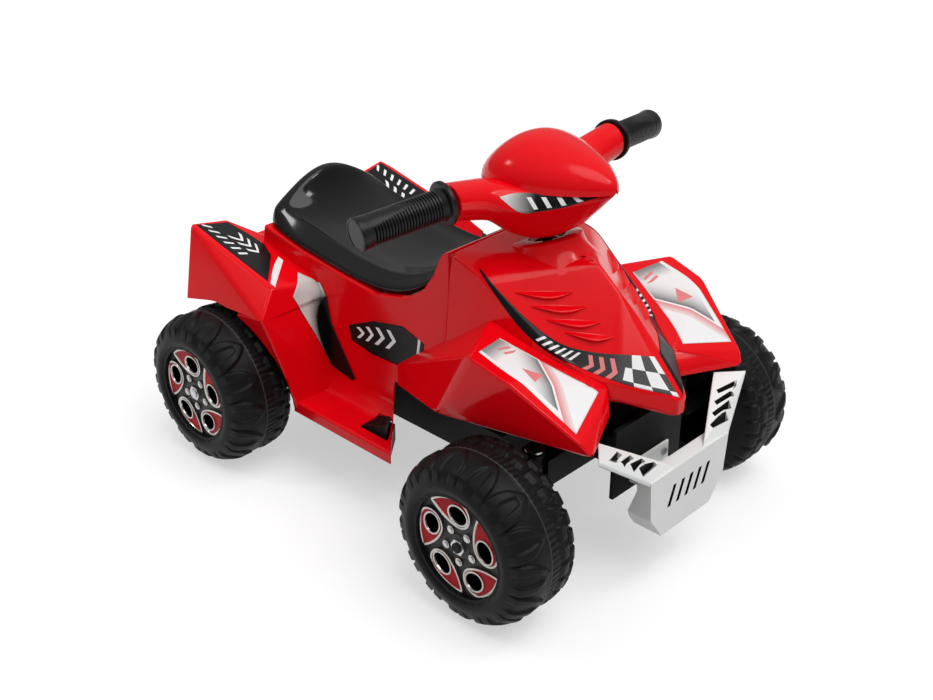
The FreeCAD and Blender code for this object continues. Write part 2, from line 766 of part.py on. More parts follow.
def main_body():
    fender = rear_fender_top + rear_fender_low
    outer = middle_block(0, footboard_rear_x, body_front_x, footboard_bottom_z)
    tail = box(tail_rear_x, footboard_rear_x, -side_y, side_y, tail_low_z, 400)
    tunnel = tunnel_block(0, tunnel_rear_x, footboard_rear_x, footboard_bottom_z)
    outer = fused([outer, tail, tunnel]).common(side_prism(body_profile(0), -200, 200))
    outer = fused([outer] + both_sides(hull(fender)) + both_sides(hull(slope_points())))
    room = middle_block(wall, footboard_rear_x - 30, body_front_x + 30, footboard_bottom_z - 20)
    tail_room = box(tail_rear_x, footboard_rear_x + 10, -side_y + wall, side_y - wall, tail_low_z - 20, 400)
    tunnel_room = tunnel_block(wall, tunnel_rear_x - 10, footboard_rear_x + 10, footboard_bottom_z - 20)
    room = fused([room, tail_room, tunnel_room]).common(side_prism(body_profile(wall), -200, 200))
    fender_room = hull_inside(fender, wall, lambda n: n.z < -0.5 or n.y < -0.9)
    slope_room = hull_inside(slope_points(), wall, lambda n: n.x < -0.3 or n.z < -0.5)
    rooms = [room] + both_sides(fender_room) + both_sides(slope_room)
    arch = rod((rear_axle_x, arch_inner_y, axle_z), (rear_axle_x, 300, axle_z), arch_radius)
    inner_arch = rod((rear_axle_x, tub_half_width, axle_z), (rear_axle_x, 300, axle_z), arch_radius - 18)
    toe = plan_prism([(toe_inner_x, 0), (toe_inner_x, side_foot_y), (footboard_front_x, footboard_y),
                      (footboard_front_x, 220), (200, 220), (200, 0)], 60, toe_top_z)
    hatch = box(hatch_rear_x, hatch_front_x, -hatch_half_width, hatch_half_width, 200, 300)
    cuts = both_sides(arch) + both_sides(inner_arch) + both_sides(toe) + [hatch]
    cuts.append(pedal_opening())
    cuts.append(socket_hole())
    shell = outer.cut(fused(rooms)).cut(Part.makeCompound(cuts))
    holes = [screw_hole(*hole) for hole in body_screw_places() + seat_screw_places()]
    return largest(shell.cut(Part.makeCompound(holes)))


def largest(shape):
    return max(shape.Solids, key=lambda solid: solid.Volume)


post_y = 76.0
post_rear_x = -126.0
post_front_x = -14.0


def post_top(x):
    """Top of a post: just under the body's sloping seat floor."""
    floor = min(seat_height(x - post_radius), seat_height(x + post_radius))
    return floor - wall * 1.15 - seam


def body_screw_places():
    places = []
    for x in (post_rear_x, post_front_x):
        head_z = max(seat_height(x - screw_head_radius), seat_height(x + screw_head_radius)) + slip
        places += [((x, side * post_y, head_z), (0, 0, -1), 18.0) for side in (1, -1)]
    return places


def seat_screw_places():
    head_z = seat_height(seat_screw_x - screw_head_radius) - wall * 1.15 - 2.2
    head_z = min(head_z, seat_height(seat_screw_x + screw_head_radius) - wall * 1.15 - slip)
    return [((seat_screw_x, side * 60.0, head_z), (0, 0, 1), 14.0) for side in (1, -1)]


seat_screw_x = -222.0


# Seat

def seat_section(x, base, half_width, inner, rim, rise, share):
    """Outline across the seat: flat base, leaning band up to the rim, hollow or crowned top."""
    foot = base + seat_plinth
    right = [Vector(x, half_width - 3, base), Vector(x, half_width, foot), Vector(x, inner + 4, rim - 2),
             Vector(x, inner - 4, rim)]
    other = [Vector(p.x, -p.y, p.z) for p in reversed(right)]
    edges = [Part.makeLine(a, b) for a, b in zip(right, right[1:])]
    half = Vector(x, right[-1].y / 2, rim + rise * share)
    curve = Part.BSplineCurve()
    curve.interpolate([right[-1], half, Vector(x, 0, rim + rise), Vector(x, -half.y, half.z), other[0]])
    edges.append(curve.toShape())
    ring = other + [right[0]]
    edges += [Part.makeLine(a, b) for a, b in zip(ring, ring[1:])]
    return Part.Wire(edges)


def seat():
    outer = []
    room = []
    for x, half_width, inner, rim, rise, share in seat_stations:
        base = seat_height(x) + seat_lift
        top = seat_height(x) + rim
        outer.append(seat_section(x, base, half_width, inner, top, rise, share))
        if seat_stations[0][0] < x < seat_stations[-1][0]:
            room.append(seat_section(x, base - wall, half_width - wall, inner - wall, top - wall,
                                     rise, share))
    shell = Part.makeLoft(outer, True, True).cut(Part.makeLoft(room, True, True))
    holes = [screw_hole(*hole) for hole in seat_screw_places()]
    bosses = [rod((x, y, seat_height(x) + 4 * seat_lift), (x, y, z + 15), 6)
              for (x, y, z), way, length in seat_screw_places()]
    shell = fused([shell] + bosses)
    return largest(shell.cut(Part.makeCompound(holes)))


# Front cowl

def hood_points():
    rim = hood_rim + [(x, y, z - hood_lip) for x, y, z in hood_rim[:3]]
    nose = [(hood_nose_x, hood_nose_half_width, hood_nose_z),
            (hood_nose_x, hood_nose_half_width, hood_nose_z - hood_lip)]
    rear = [(hood_rear_x, hood_shoulder_y, tank_top_z), (hood_rear_x, side_y, tank_top_z - 20),
            (hood_rear_x, side_foot_y, hood_rear_low_z)]
    return mirrored_points(rim + nose + rear) + hood_ridge + [(hood_rear_x, 0, tank_top_z + 1)]


def fender_points():
    inner = fender_front_low[0] - 40
    return [fender_ridge_rear, fender_ridge_middle, fender_front_top, fender_front_low, fender_low_rear,
            fender_tip_top, fender_tip_low, fender_front_inner, fender_rear_inner,
            (inner, 60.0, fender_front_low[2]), (fender_tip_low[0], 60.0, fender_tip_low[2]),
            (fender_tip_top[0], 60.0, fender_tip_top[2])]


def front_cowl():
    hood = hull(hood_points())
    fender = hull(fender_points())
    outer = fused([hood] + both_sides(fender))
    hood_room = hull_inside(hood_points(), wall, lambda n: n.x < -0.9 or n.z < -0.5)
    fender_room = hull_inside(fender_points(), wall, lambda n: n.z < -0.5 or n.y < -0.9)
    shell = outer.cut(fused([hood_room] + both_sides(fender_room)))
    keep_out = middle_block(-seam, -200, hood_rear_x, 40)
    shell = shell.cut(keep_out)
    neck = rod(on_column(tank_top_z - 20), on_column(tank_top_z + 20), cowl_neck_radius)
    holes = [screw_hole(*hole) for hole in cowl_screw_places()]
    return largest(shell.cut(neck).cut(Part.makeCompound(holes)))


cowl_neck_radius = column_radius + running + column_bush_wall + 2 + 1.5


def cowl_screw_places():
    at = on_column(tank_top_z)
    return [((at.x, side * 17.5, tank_top_z + 2.6), (0, 0, -1), 22.0) for side in (1, -1)]


# Bumper

def bumper_tongue_z():
    return (bumper_outline[0][1] + bumper_outline[1][1]) / 2 - 12


def bumper_screw_places():
    head_x = nose_wall_x + seam + bumper_wall + slip
    return [((head_x, side * 24.0, bumper_tongue_z() + 12), (-1, 0, 0), 14.0) for side in (1, -1)]


def bumper_arm():
    outer = (bumper_front_x - 1, bumper_outline[0][0], bumper_outline[0][1])
    inner = (bumper_front_x - 4, bumper_arm_front_inner_y, bumper_outline[0][1])
    top = [outer, inner, bumper_arm_rear_inner, bumper_arm_rear_outer]
    plate = hull(top + [(x, y, z - bumper_arm_thickness) for x, y, z in top])
    slots = []
    for index in range(bumper_slots):
        share = 0.30 + 0.5 * index / (bumper_slots - 1)
        near = Vector(*outer) + (Vector(*bumper_arm_rear_outer) - Vector(*outer)) * share
        far = Vector(*inner) + (Vector(*bumper_arm_rear_inner) - Vector(*inner)) * (share - 0.12)
        across = (far - near)
        start = near + across * 0.22
        end = near + across * 0.78
        way = Vector(across.x, across.y, 0).normalize()
        aside = up.cross(way) * (bumper_slot_width / 2)
        ring = [start + aside, end + aside, end - aside, start - aside]
        slots.append(plan_prism([(p.x, p.y) for p in ring], 120, 240))
    return plate.cut(Part.makeCompound(slots))


def front_bumper():
    outline = bumper_outline + [(-y, z) for y, z in reversed(bumper_outline)]
    low_z = bumper_outline[-1][1]
    top_z = bumper_outline[0][1]
    tray = front_prism(outline, bumper_front_x - bumper_depth_low, bumper_front_x)
    inset = [(y - bumper_wall * (1 if y > 0 else -1), z + (bumper_wall if z == low_z else 0))
             for y, z in outline]
    inset = [(y, z - bumper_wall if z == top_z else z) for y, z in inset]
    tray = tray.cut(front_prism(inset, bumper_front_x - bumper_depth_low - 1, bumper_back_x))
    back = side_prism([(bumper_front_x - bumper_depth_low - 1, low_z + 12),
                       (bumper_front_x - bumper_depth_top, top_z - 20),
                       (bumper_front_x - bumper_depth_top, top_z + 10),
                       (bumper_front_x - bumper_depth_low - 1, top_z + 10)], -100, 100)
    tray = tray.cut(back)
    louvres = []
    middle_z = (top_z + low_z) / 2 + 6
    for index in range(louvre_count):
        y = (index - (louvre_count - 1) / 2) * louvre_pitch
        ring = [(y - louvre_width / 2 - louvre_slant / 2, middle_z - louvre_height / 2),
                (y + louvre_width / 2 - louvre_slant / 2, middle_z - louvre_height / 2),
                (y + louvre_width / 2 + louvre_slant / 2, middle_z + louvre_height / 2),
                (y - louvre_width / 2 + louvre_slant / 2, middle_z + louvre_height / 2)]
        louvres.append(front_prism(ring, bumper_back_x - 1, bumper_front_x + 1))
    tongue_z = bumper_tongue_z()
    flange_x = nose_wall_x + seam
    tongue = box(flange_x, bumper_back_x + 1, -34, 34, tongue_z - 4, tongue_z)
    flange = box(flange_x, flange_x + bumper_wall, -34, 34, tongue_z - 4, tongue_z + 22)
    bumper = fused([tray, tongue, flange] + both_sides(bumper_arm()))
    holes = [screw_hole(*hole) for hole in bumper_screw_places()]
    return largest(bumper.cut(Part.makeCompound(louvres + holes))).removeSplitter()


# Handlebar

cross_bolt_z = 398.0


def cover_seam_z(x):
    """Height of the seam between the two handlebar covers."""
    share = (x - cover_rear_x) / (cover_front_x - cover_rear_x)
    return cover_rear_z + (cover_front_z - cover_rear_z) * share


def dome_loft(inset, drop):
    wires = []
    for x, half_width, height in dome_sections:
        base = cover_seam_z(x) - drop
        half = max(half_width - inset, 2)
        top = cover_seam_z(x) + max(height - inset, 1)
        start, end = Vector(x, -half, base), Vector(x, half, base)
        wires.append(Part.Wire([Part.Arc(start, Vector(x, 0, top), end).toShape(),
                                Part.makeLine(end, start)]))
    if inset:
        wires = wires[1:-1]
    return Part.makeLoft(wires, True, False)


def handlebar_upper_cover():
    shell = dome_loft(0, 0).cut(dome_loft(wall, 2))
    posts = []
    for (x, y, z), way, length in handlebar_screw_places():
        base = cover_seam_z(x)
        posts.append(rod((x, y, base + 0.5), (x, y, base + 26), 5))
    shell = fused([shell] + posts)
    holes = [screw_hole(*hole) for hole in handlebar_screw_places()]
    return largest(shell.cut(Part.makeCompound(holes)))


def cover_points():
    edge = [(x, half_width, cover_seam_z(x) - seam) for x, half_width, height in dome_sections]
    low = [(cover_front_x - 5, 6.0, cover_front_z - 10)]
    return mirrored_points(edge + low + [cover_crease] + cover_neck)


def handlebar_screw_places():
    return [((96.0, side * 30.0, 392.0), (0, 0, 1), 44.0) for side in (1, -1)]


def grip_point(distance):
    start = Vector(*grip_start)
    way = (Vector(*grip_end) - start).normalize()
    return start + way * distance


def handlebar_lower_cover():
    centre = hull(cover_points())
    room = hull_inside(cover_points(), wall, lambda n: n.z > 0.9)
    arm_way = (Vector(*grip_start) - Vector(*arm_root)).normalize()
    arm = cone(arm_root, Vector(*grip_start) + arm_way * 8, arm_root_radius, arm_end_radius)
    arm = arm.cut(rod(grip_point(0), grip_point(grip_length), arm_root_radius * 2))
    arm_room = cone(arm_root, Vector(*grip_start) - arm_way * 8, arm_root_radius - wall,
                    arm_end_radius - wall)
    shell = fused([centre] + both_sides(arm))
    widest = max(half_width for x, half_width, height in dome_sections) + wall
    above = side_prism([(0, cover_seam_z(0) - seam), (300, cover_seam_z(300) - seam), (300, 500), (0, 500)],
                       -widest, widest)
    shell = shell.cut(fused([room] + both_sides(arm_room))).cut(above)
    bar_start = Vector(*grip_start) - (Vector(*grip_end) - Vector(*grip_start)).normalize() * 4
    bar = rod(bar_start, grip_point(grip_length - grip_cap_thickness - 8), grip_bar_radius)
    low_z = cover_neck[2][2]
    boss = rod(on_column(low_z + 1), on_column(column_top_z - 6), cover_boss_radius)
    posts = []
    for (x, y, z), way, length in handlebar_screw_places():
        post = rod((x, y, 340), (x, y, cover_seam_z(x) - seam - 1), 5)
        posts.append(post.common(centre))
    shell = fused([shell, boss] + both_sides(bar) + posts)
    bolt_at = on_column(cross_bolt_z)
    cuts = [rod(on_column(low_z - 20), on_column(column_top_z + 10), column_radius + slip),
            rod(bolt_at - left * 20, bolt_at + left * 20, cross_bolt_radius + slip)]
    for (x, y, z), way, length in handlebar_screw_places():
        cuts.append(rod((x, y, 340), (x, y, z), screw_head_radius + slip))
        cuts.append(screw_hole((x, y, z), way, length))
    return largest(shell.cut(Part.makeCompound(cuts)))


grip_length = (Vector(*grip_end) - Vector(*grip_start)).Length


def grip():
    gap = seam
    sleeve = rod(grip_point(gap), grip_point(grip_length), grip_radius)
    flange = rod(grip_point(gap), grip_point(gap + grip_flange_thickness), grip_flange_radius)
    cap = rod(grip_point(grip_length - grip_cap_thickness), grip_point(grip_length), grip_radius + 1.5)
    grooves = []
    for index in range(grip_ribs):
        at = gap + grip_flange_thickness + 4 + index * grip_rib_pitch
        ring = rod(grip_point(at), grip_point(at + grip_rib_pitch / 2), grip_radius + 5)
        core = rod(grip_point(at - 1), grip_point(at + grip_rib_pitch), grip_radius - grip_rib_depth)
        grooves.append(ring.cut(core))
    bore = rod(grip_point(-5), grip_point(grip_length - grip_cap_thickness - 7), grip_bar_radius + slip)
    return fused([sleeve, flange, cap]).cut(Part.makeCompound(grooves)).cut(bore)


def cross_bolt():
    at = on_column(cross_bolt_z)
    reach = cover_boss_radius + 2
    shank = rod(at - left * (reach + 6), at + left * reach, cross_bolt_radius)
    head = rod(at + left * reach, at + left * (reach + 3), 5.5)
    nut = rod(at - left * (reach + 4), at - left * reach, 5.5)
    nut = nut.cut(rod(at - left * 30, at, cross_bolt_radius + running))
    return Part.makeCompound([shank.fuse(head), nut])


# Drive

def gear(module, teeth, x, y0, y1, phase):
    """Involute spur gear about a cross axis, with one tooth's middle at the phase angle."""
    pitch = module * teeth / 2
    pressure = math.radians(gear_pressure_angle)
    base = pitch * math.cos(pressure)
    tip = pitch + 0.9 * module
    root = pitch - 1.2 * module
    half_tooth = (math.pi * module / 2 - gear_backlash) / (2 * pitch)
    involute = math.tan(pressure) - pressure
    flank = []
    for step in range(5):
        radius = max(base, root) + (tip - max(base, root)) * step / 4
        roll = math.acos(min(1, base / radius))
        flank.append((radius, half_tooth + involute - (math.tan(roll) - roll)))
    ring = []
    for tooth in range(teeth):
        middle = phase + 2 * math.pi * tooth / teeth
        low = [(root, flank[0][1])] if base > root else []
        for radius, half in low + flank:
            ring.append((radius, middle - half))
        for radius, half in reversed(low + flank):
            ring.append((radius, middle + half))
    outline = [(x + r * math.cos(a), axle_z + r * math.sin(a)) for r, a in ring]
    return side_prism(outline, y0, y1)


output_reach = output_module * (output_teeth + small_teeth) / 2
first_reach = first_module * (first_teeth + pinion_teeth) / 2
compound_x = rear_axle_x + output_reach
motor_x = compound_x + first_reach
first_y0 = -(gearbox_inner_y + gearbox_wall + gear_side_gap)
first_y1 = first_y0 - gear_face * 0.7
output_y0 = first_y1 - gear_side_gap
output_y1 = output_y0 - gear_face
gearbox_outer_y = -output_y1 + gear_side_gap
cover_outer_y = gearbox_outer_y + seam + gearbox_wall


def output_gear():
    wheel = gear(output_module, output_teeth, rear_axle_x, output_y1, output_y0, 0)
    end = -(tyre_outer_y - tyre_width - rim_boss_reach - seam)
    hub = rod((rear_axle_x, output_y0, axle_z), (rear_axle_x, end, axle_z), dog_radius)
    bore = rod((rear_axle_x, 0, axle_z), (rear_axle_x, -300, axle_z), axle_radius + running)
    return wheel.fuse(hub).cut(bore)


def compound_gear():
    large = gear(first_module, first_teeth, compound_x, first_y1, first_y0, 0)
    small = gear(output_module, small_teeth, compound_x, output_y1, first_y1, math.pi + math.pi / small_teeth)
    bore = rod((compound_x, 0, axle_z), (compound_x, -300, axle_z), gear_pin_radius + running)
    return large.fuse(small).cut(bore)


def motor_pinion():
    wheel = gear(first_module, pinion_teeth, motor_x, first_y1, first_y0, math.pi + math.pi / pinion_teeth)
    return wheel.cut(rod((motor_x, 0, axle_z), (motor_x, -300, axle_z), motor_shaft_radius + running))


def gearbox_outline(y0, y1, grow):
    """Case round the three shafts, as two hulls of round walls."""
    circles = [(rear_axle_x, output_module * output_teeth / 2 + 3 + grow),
               (compound_x, first_module * first_teeth / 2 + 3 + grow),
               (motor_x, first_module * pinion_teeth / 2 + 6 + grow)]
    pieces = [rod((x, y0, axle_z), (x, y1, axle_z), radius) for x, radius in circles]
    for (xa, ra), (xb, rb) in zip(circles, circles[1:]):
        lean = math.asin((ra - rb) / (xb - xa))
        ring = [(xa + ra * math.sin(lean), axle_z + ra * math.cos(lean)),
                (xb + rb * math.sin(lean), axle_z + rb * math.cos(lean)),
                (xb + rb * math.sin(lean), axle_z - rb * math.cos(lean)),
                (xa + ra * math.sin(lean), axle_z - ra * math.cos(lean))]
        pieces.append(side_prism(ring, y0, y1))
    return fused(pieces).removeSplitter()


gear_ear = 6.0


def gearbox_screw_places():
    reach = output_module * output_teeth / 2 + 3 + gearbox_wall + 2
    head_y = -(cover_outer_y + slip)
    length = cover_outer_y - tub_half_width + tub_wall - 1
    return [((rear_axle_x + reach * math.cos(a), head_y, axle_z + reach * math.sin(a)), (0, 1, 0), length)
            for a in (math.radians(40), math.radians(140))]


def gearbox_ears(y0, y1):
    return [rod((x, y0, z), (x, y1, z), gear_ear) for (x, y, z), way, length in gearbox_screw_places()]


def gearbox_bores():
    pin = gear_pin_radius + slip
    return [rod((rear_axle_x, 0, axle_z), (rear_axle_x, -300, axle_z), axle_radius + slip),
            rod((compound_x, 0, axle_z), (compound_x, -300, axle_z), pin)]


def gearbox_housing():
    y0 = -(tub_half_width + seam)
    y1 = -gearbox_outer_y
    case = gearbox_outline(y0, y1, gearbox_wall)
    room = gearbox_outline(-(gearbox_inner_y + gearbox_wall), y1 - 1, 0)
    case = fused([case.cut(room)] + gearbox_ears(y0, y1)).cut(room)
    shaft = rod((motor_x, 0, axle_z), (motor_x, -300, axle_z), motor_shaft_radius + 2)
    motor_seat = rod((motor_x, 0, axle_z), (motor_x, -gearbox_inner_y + 1, axle_z), motor_radius + seam)
    cuts = gearbox_bores() + [shaft, motor_seat] + [screw_hole(*hole) for hole in gearbox_screw_places()]
    return largest(case.cut(Part.makeCompound(cuts)))


def gearbox_cover():
    y0 = -(gearbox_outer_y + seam)
    y1 = -cover_outer_y
    plate = fused([gearbox_outline(y0, y1, gearbox_wall)] + gearbox_ears(y0, y1))
    hub = rod((rear_axle_x, 0, axle_z), (rear_axle_x, -300, axle_z), dog_radius + 1)
    cuts = gearbox_bores()[1:] + [hub] + [screw_hole(*hole) for hole in gearbox_screw_places()]
    return plate.cut(Part.makeCompound(cuts)).removeSplitter()


def gear_pin():
    return rod((compound_x, -gearbox_inner_y, axle_z), (compound_x, -cover_outer_y, axle_z), gear_pin_radius)


def motor():
    face_y = -(gearbox_inner_y - 1) + seam
    can = rod((motor_x, face_y, axle_z), (motor_x, face_y + motor_length, axle_z), motor_radius)
    nose = rod((motor_x, face_y + motor_length, axle_z), (motor_x, face_y + motor_length + 3, axle_z), 5)
    shaft = rod((motor_x, face_y, axle_z), (motor_x, first_y1, axle_z), motor_shaft_radius)
    tabs = [box(motor_x - 3, motor_x + 3, face_y + motor_length, face_y + motor_length + 6,
                axle_z + side * 9 - 0.5, axle_z + side * 9 + 0.5) for side in (1, -1)]
    return fused([can, nose, shaft] + tabs)


def rear_axle():
    return rod((rear_axle_x, -axle_end_y, axle_z), (rear_axle_x, axle_end_y, axle_z), axle_radius)


# Pedal

pedal_top_z = footboard_top_z + 2.0
pedal_pin_x = pedal_rear_x + 6.0
pedal_pin_z = footboard_top_z - 9.0
pedal_floor_z = pedal_box_floor_z + wall + slip


def pedal_prism(grow, z0, z1):
    """Upright block over the pedal's plan, grown outwards: its front edge follows the footboard's toe."""
    across = pedal_outer_y - pedal_inner_y
    front = Vector(across, pedal_front_slant, 0).normalize()
    corner = Vector(pedal_front_x, -pedal_outer_y, 0)
    return planes_solid([(-forward, -pedal_rear_x + grow), (-left, pedal_outer_y + grow),
                         (left, -pedal_inner_y + grow), (front, front.dot(corner) + grow),
                         (up, z1), (-up, -z0)])


def pedal_roof(x):
    return pedal_top_z + pedal_rise * (x - pedal_rear_x) / (pedal_front_x - pedal_rear_x)


def pedal_opening():
    return pedal_prism(pedal_gap, footboard_bottom_z - 5, footboard_top_z + 60)


def accelerator_pedal():
    rear, front = pedal_rear_x, pedal_front_x + 10
    heel = pedal_pin_z - pedal_pin_radius - wall
    skirt = footboard_top_z - wall
    outline = [(rear, heel), (rear, pedal_top_z - 3), (rear + wall, pedal_roof(rear + wall)),
               (front, pedal_roof(front)), (front, skirt), (pedal_pin_x + 9, skirt), (pedal_pin_x + 5, heel)]
    wedge = side_prism(outline, -200, 0).common(pedal_prism(0, heel - 1, 200))
    room = side_prism([(pedal_pin_x + 9, heel), (pedal_pin_x + 9, pedal_roof(pedal_pin_x + 9) - wall),
                       (front, pedal_roof(front) - wall), (front, heel)], -200, 0)
    room = room.common(pedal_prism(-wall, heel - 1, 200))
    grooves = []
    for index in range(pedal_grooves):
        x = rear + 9 + index * 7
        groove = box(x, x + 2.5, -200, 0, pedal_roof(x) - 0.8, pedal_roof(x) + 9)
        grooves.append(groove.common(pedal_prism(-wall, heel - 1, 200)))
    pin = rod((pedal_pin_x, -200, pedal_pin_z), (pedal_pin_x, 0, pedal_pin_z), pedal_pin_radius + running)
    press_x, press_y = switch_x + 14, switch_y + 2
    plunger = box(press_x, press_x + 3, press_y, press_y + 3,
                  switch_top_z + plunger_gap, pedal_roof(press_x) - 1)
    return largest(wedge.cut(Part.makeCompound([room, pin] + grooves)).fuse(plunger))


def pedal_housing():
    top = footboard_top_z - wall - seam
    shell = pedal_prism(pedal_gap + wall, pedal_box_floor_z, top)
    room = pedal_prism(pedal_gap, pedal_box_floor_z + wall, top + 5)
    pin = rod((pedal_pin_x, -200, pedal_pin_z), (pedal_pin_x, 0, pedal_pin_z), pedal_pin_radius + slip)
    way_out = box(pedal_rear_x - 20, pedal_rear_x, switch_tab_ys[0] - 3, switch_tab_ys[1] + 3,
                  pedal_floor_z + 1, pedal_floor_z + 7)
    return largest(shell.cut(room).cut(pin).cut(way_out))


def pedal_pin():
    reach = pedal_gap + wall - slip
    return rod((pedal_pin_x, -pedal_outer_y - reach, pedal_pin_z),
               (pedal_pin_x, -pedal_inner_y + reach, pedal_pin_z), pedal_pin_radius)


def pedal_spring():
    """Bent leaf spring between the housing's floor and the pedal's roof."""
    y0 = -pedal_outer_y + wall + 3
    fold = pedal_pin_x + 11
    end = fold + leaf_reach
    line = [(end, pedal_floor_z + leaf_thickness), (fold + 2, pedal_floor_z + leaf_thickness),
            (fold, pedal_floor_z + leaf_thickness + 2), (end, pedal_roof(end) - wall - leaf_thickness)]
    back = offset_line(line, -leaf_thickness)
    return side_prism(line + list(reversed(back)), y0, y0 + leaf_width)


switch_x = pedal_rear_x + 8.0
switch_y = -pedal_inner_y - 15.0
switch_top_z = pedal_floor_z + 8.0
switch_tab_ys = (switch_y + 1.0, switch_y + 6.0)


def pedal_switch():
    body = box(switch_x, switch_x + 20, switch_y, switch_y + 7, pedal_floor_z, pedal_floor_z + 6.5)
    button = box(switch_x + 14, switch_x + 17, switch_y + 2, switch_y + 5,
                 pedal_floor_z + 6, switch_top_z)
    tabs = [box(switch_x - 4, switch_x + 1, y - 0.5, y + 0.5, pedal_floor_z + 3, pedal_floor_z + 5)
            for y in switch_tab_ys]
    return fused([body, button] + tabs)


# Battery, leads and socket

battery_floor = tub_floor_z + tub_wall + slip
battery_front_x = battery_rear_x + battery_size[0]
battery_top = battery_floor + battery_size[2]
battery_mid_x = battery_rear_x + battery_size[0] / 2


def battery():
    half = battery_size[1] / 2
    case = box(battery_rear_x, battery_front_x, -half, half, battery_floor, battery_top)
    tabs = [box(x - 3, x + 3, -0.4, 0.4, battery_top, battery_top + 6)
            for x in (battery_rear_x + 12, battery_front_x - 12)]
    return fused([case] + tabs)


def battery_strap():
    half = battery_size[1] / 2 + seam
    x0, x1 = battery_mid_x - strap_width / 2, battery_mid_x + strap_width / 2
    outer = box(x0, x1, -half - strap_thickness, half + strap_thickness, battery_floor,
                battery_top + seam + strap_thickness)
    inner = box(x0 - 1, x1 + 1, -half, half, battery_floor - 1, battery_top + seam)
    feet = box(x0, x1, -half - 14, half + 14, battery_floor, battery_floor + strap_thickness)
    return outer.fuse(feet).cut(inner)


def leads():
    """Leads from battery to switch, from switch to motor and from motor back to battery."""
    tab_z = battery_top + 6 + lead_radius + seam
    rear_tab = battery_rear_x + 12
    front_tab = battery_front_x - 12
    gutter = -(tub_half_width + 7)
    over = tub_top_z + 12
    switch_tab_x = switch_x - 4 - seam
    switch_z = pedal_floor_z + 4
    cross_x = front_tab + 22
    motor_y = -(gearbox_inner_y - 1) + motor_length + 6 + seam + lead_radius
    to_switch = [(front_tab, 0, tab_z), (front_tab, gutter, tab_z), (front_tab, gutter, switch_z),
                 (front_tab, switch_tab_ys[0], switch_z), (switch_tab_x, switch_tab_ys[0], switch_z)]
    to_motor = [(switch_tab_x, switch_tab_ys[1], switch_z), (cross_x, switch_tab_ys[1], switch_z),
                (cross_x, gutter, switch_z), (cross_x, gutter, over), (cross_x, lead_lane_y, over),
                (motor_x, lead_lane_y, over), (motor_x, motor_y, over), (motor_x, motor_y, axle_z + 9)]
    back = [(rear_tab, 0, tab_z), (motor_x, 0, tab_z), (motor_x, 0, axle_z - 9),
            (motor_x, motor_y, axle_z - 9)]
    return lead(to_switch), lead(to_motor), lead(back)


def socket_frame():
    """Middle of the charging socket on the left side wall, and the wall's outward way."""
    share = (side_break_z - socket_z) / (side_break_z - footboard_top_z - foot_fillet)
    at = Vector(socket_x, side_y + (side_foot_y - side_y) * share, socket_z)
    run = side_break_z - footboard_top_z - foot_fillet
    way = Vector(0, run, side_foot_y - side_y).normalize()
    return at, way


def socket_hole():
    at, way = socket_frame()
    return rod(at - way * 20, at + way * 20, socket_body_radius + slip)


def charging_socket():
    at, way = socket_frame()
    flange = rod(at + way * seam, at + way * (seam + 2), socket_flange_radius)
    body = rod(at - way * 16, at + way * (seam + 1), socket_body_radius)
    nut = rod(at - way * (wall + seam + 3), at - way * (wall + seam), socket_body_radius + 3)
    bore = rod(at + way * (seam + 2 - socket_depth), at + way * 20, socket_bore)
    return fused([flange, body, nut]).cut(bore)


def screws(places):
    return Part.makeCompound([screw(*place) for place in places])


# Nodes
switch_lead, motor_lead, return_lead = leads()
nodes = {
    "chassis_frame": chassis_frame(),
    "main_body": main_body(),
    "front_cowl": front_cowl(),
    "seat": seat(),
    "front_bumper": front_bumper(),
    "rear_axle": rear_axle(),
    "battery": battery(),
    "battery_strap": battery_strap(),
    "gearbox_housing": gearbox_housing(),
    "gearbox_cover": gearbox_cover(),
    "gear_pin": gear_pin(),
    "motor": motor(),
    "motor_pinion": motor_pinion(),
    "compound_gear": compound_gear(),
    "output_gear": output_gear(),
    "pedal_housing": pedal_housing(),
    "pedal_pin": pedal_pin(),
    "pedal_spring": pedal_spring(),
    "pedal_switch": pedal_switch(),
    "accelerator_pedal": accelerator_pedal(),
    "charging_socket": charging_socket(),
    "switch_lead": switch_lead,
    "motor_lead": motor_lead,
    "return_lead": return_lead,
    "column_upper_bush": column_bush(True),
    "column_lower_bush": column_bush(False),
    "kingpin_bushes": kingpin_bushes(),
    "steering_column": steering_column(),
    "cross_bolt": cross_bolt(),
    "handlebar_lower_cover": handlebar_lower_cover(),
    "handlebar_upper_cover": handlebar_upper_cover(),
    "handlebar_screws": screws(handlebar_screw_places()),
    "body_screws": screws(body_screw_places() + cowl_screw_places()),
    "seat_screws": screws(seat_screw_places()),
    "bumper_screws": screws(bumper_screw_places()),
    "gearbox_screws": screws(gearbox_screw_places()),
    "tie_rod": tie_rod(),
}
sides = {"left": lambda shape: shape.copy(), "right": mirrored}
wheel_pieces = {"tyre": tyre(), "rim": rim(), "hub_cap": hub_cap(), "axle_nut": axle_nut()}
side_pieces = {"grip": grip(), "knuckle": knuckle(),
               "knuckle_clips": Part.makeCompound([kingpin_clip(), tie_clip()])}
for side, placed in sides.items():
    for name, shape in side_pieces.items():
        nodes[side + "_" + name] = placed(shape)
    for end, axle_x in (("front", front_axle_x), ("rear", rear_axle_x)):
        for name, shape in wheel_pieces.items():
            wheel = placed(shape)
            wheel.translate(Vector(axle_x, 0, axle_z))
            nodes["_".join((end, side, name))] = wheel

os.makedirs("parts", exist_ok=True)
for name, shape in nodes.items():
    shape.translate(origin_shift)
    shape.exportStep("parts/" + name + ".step")
    print(name, len(shape.Solids), round(shape.Volume / 1000, 1), shape.isValid())
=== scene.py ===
import math

import bmesh
import bpy
from mathutils import Matrix, Vector
from mathutils.bvhtree import BVHTree


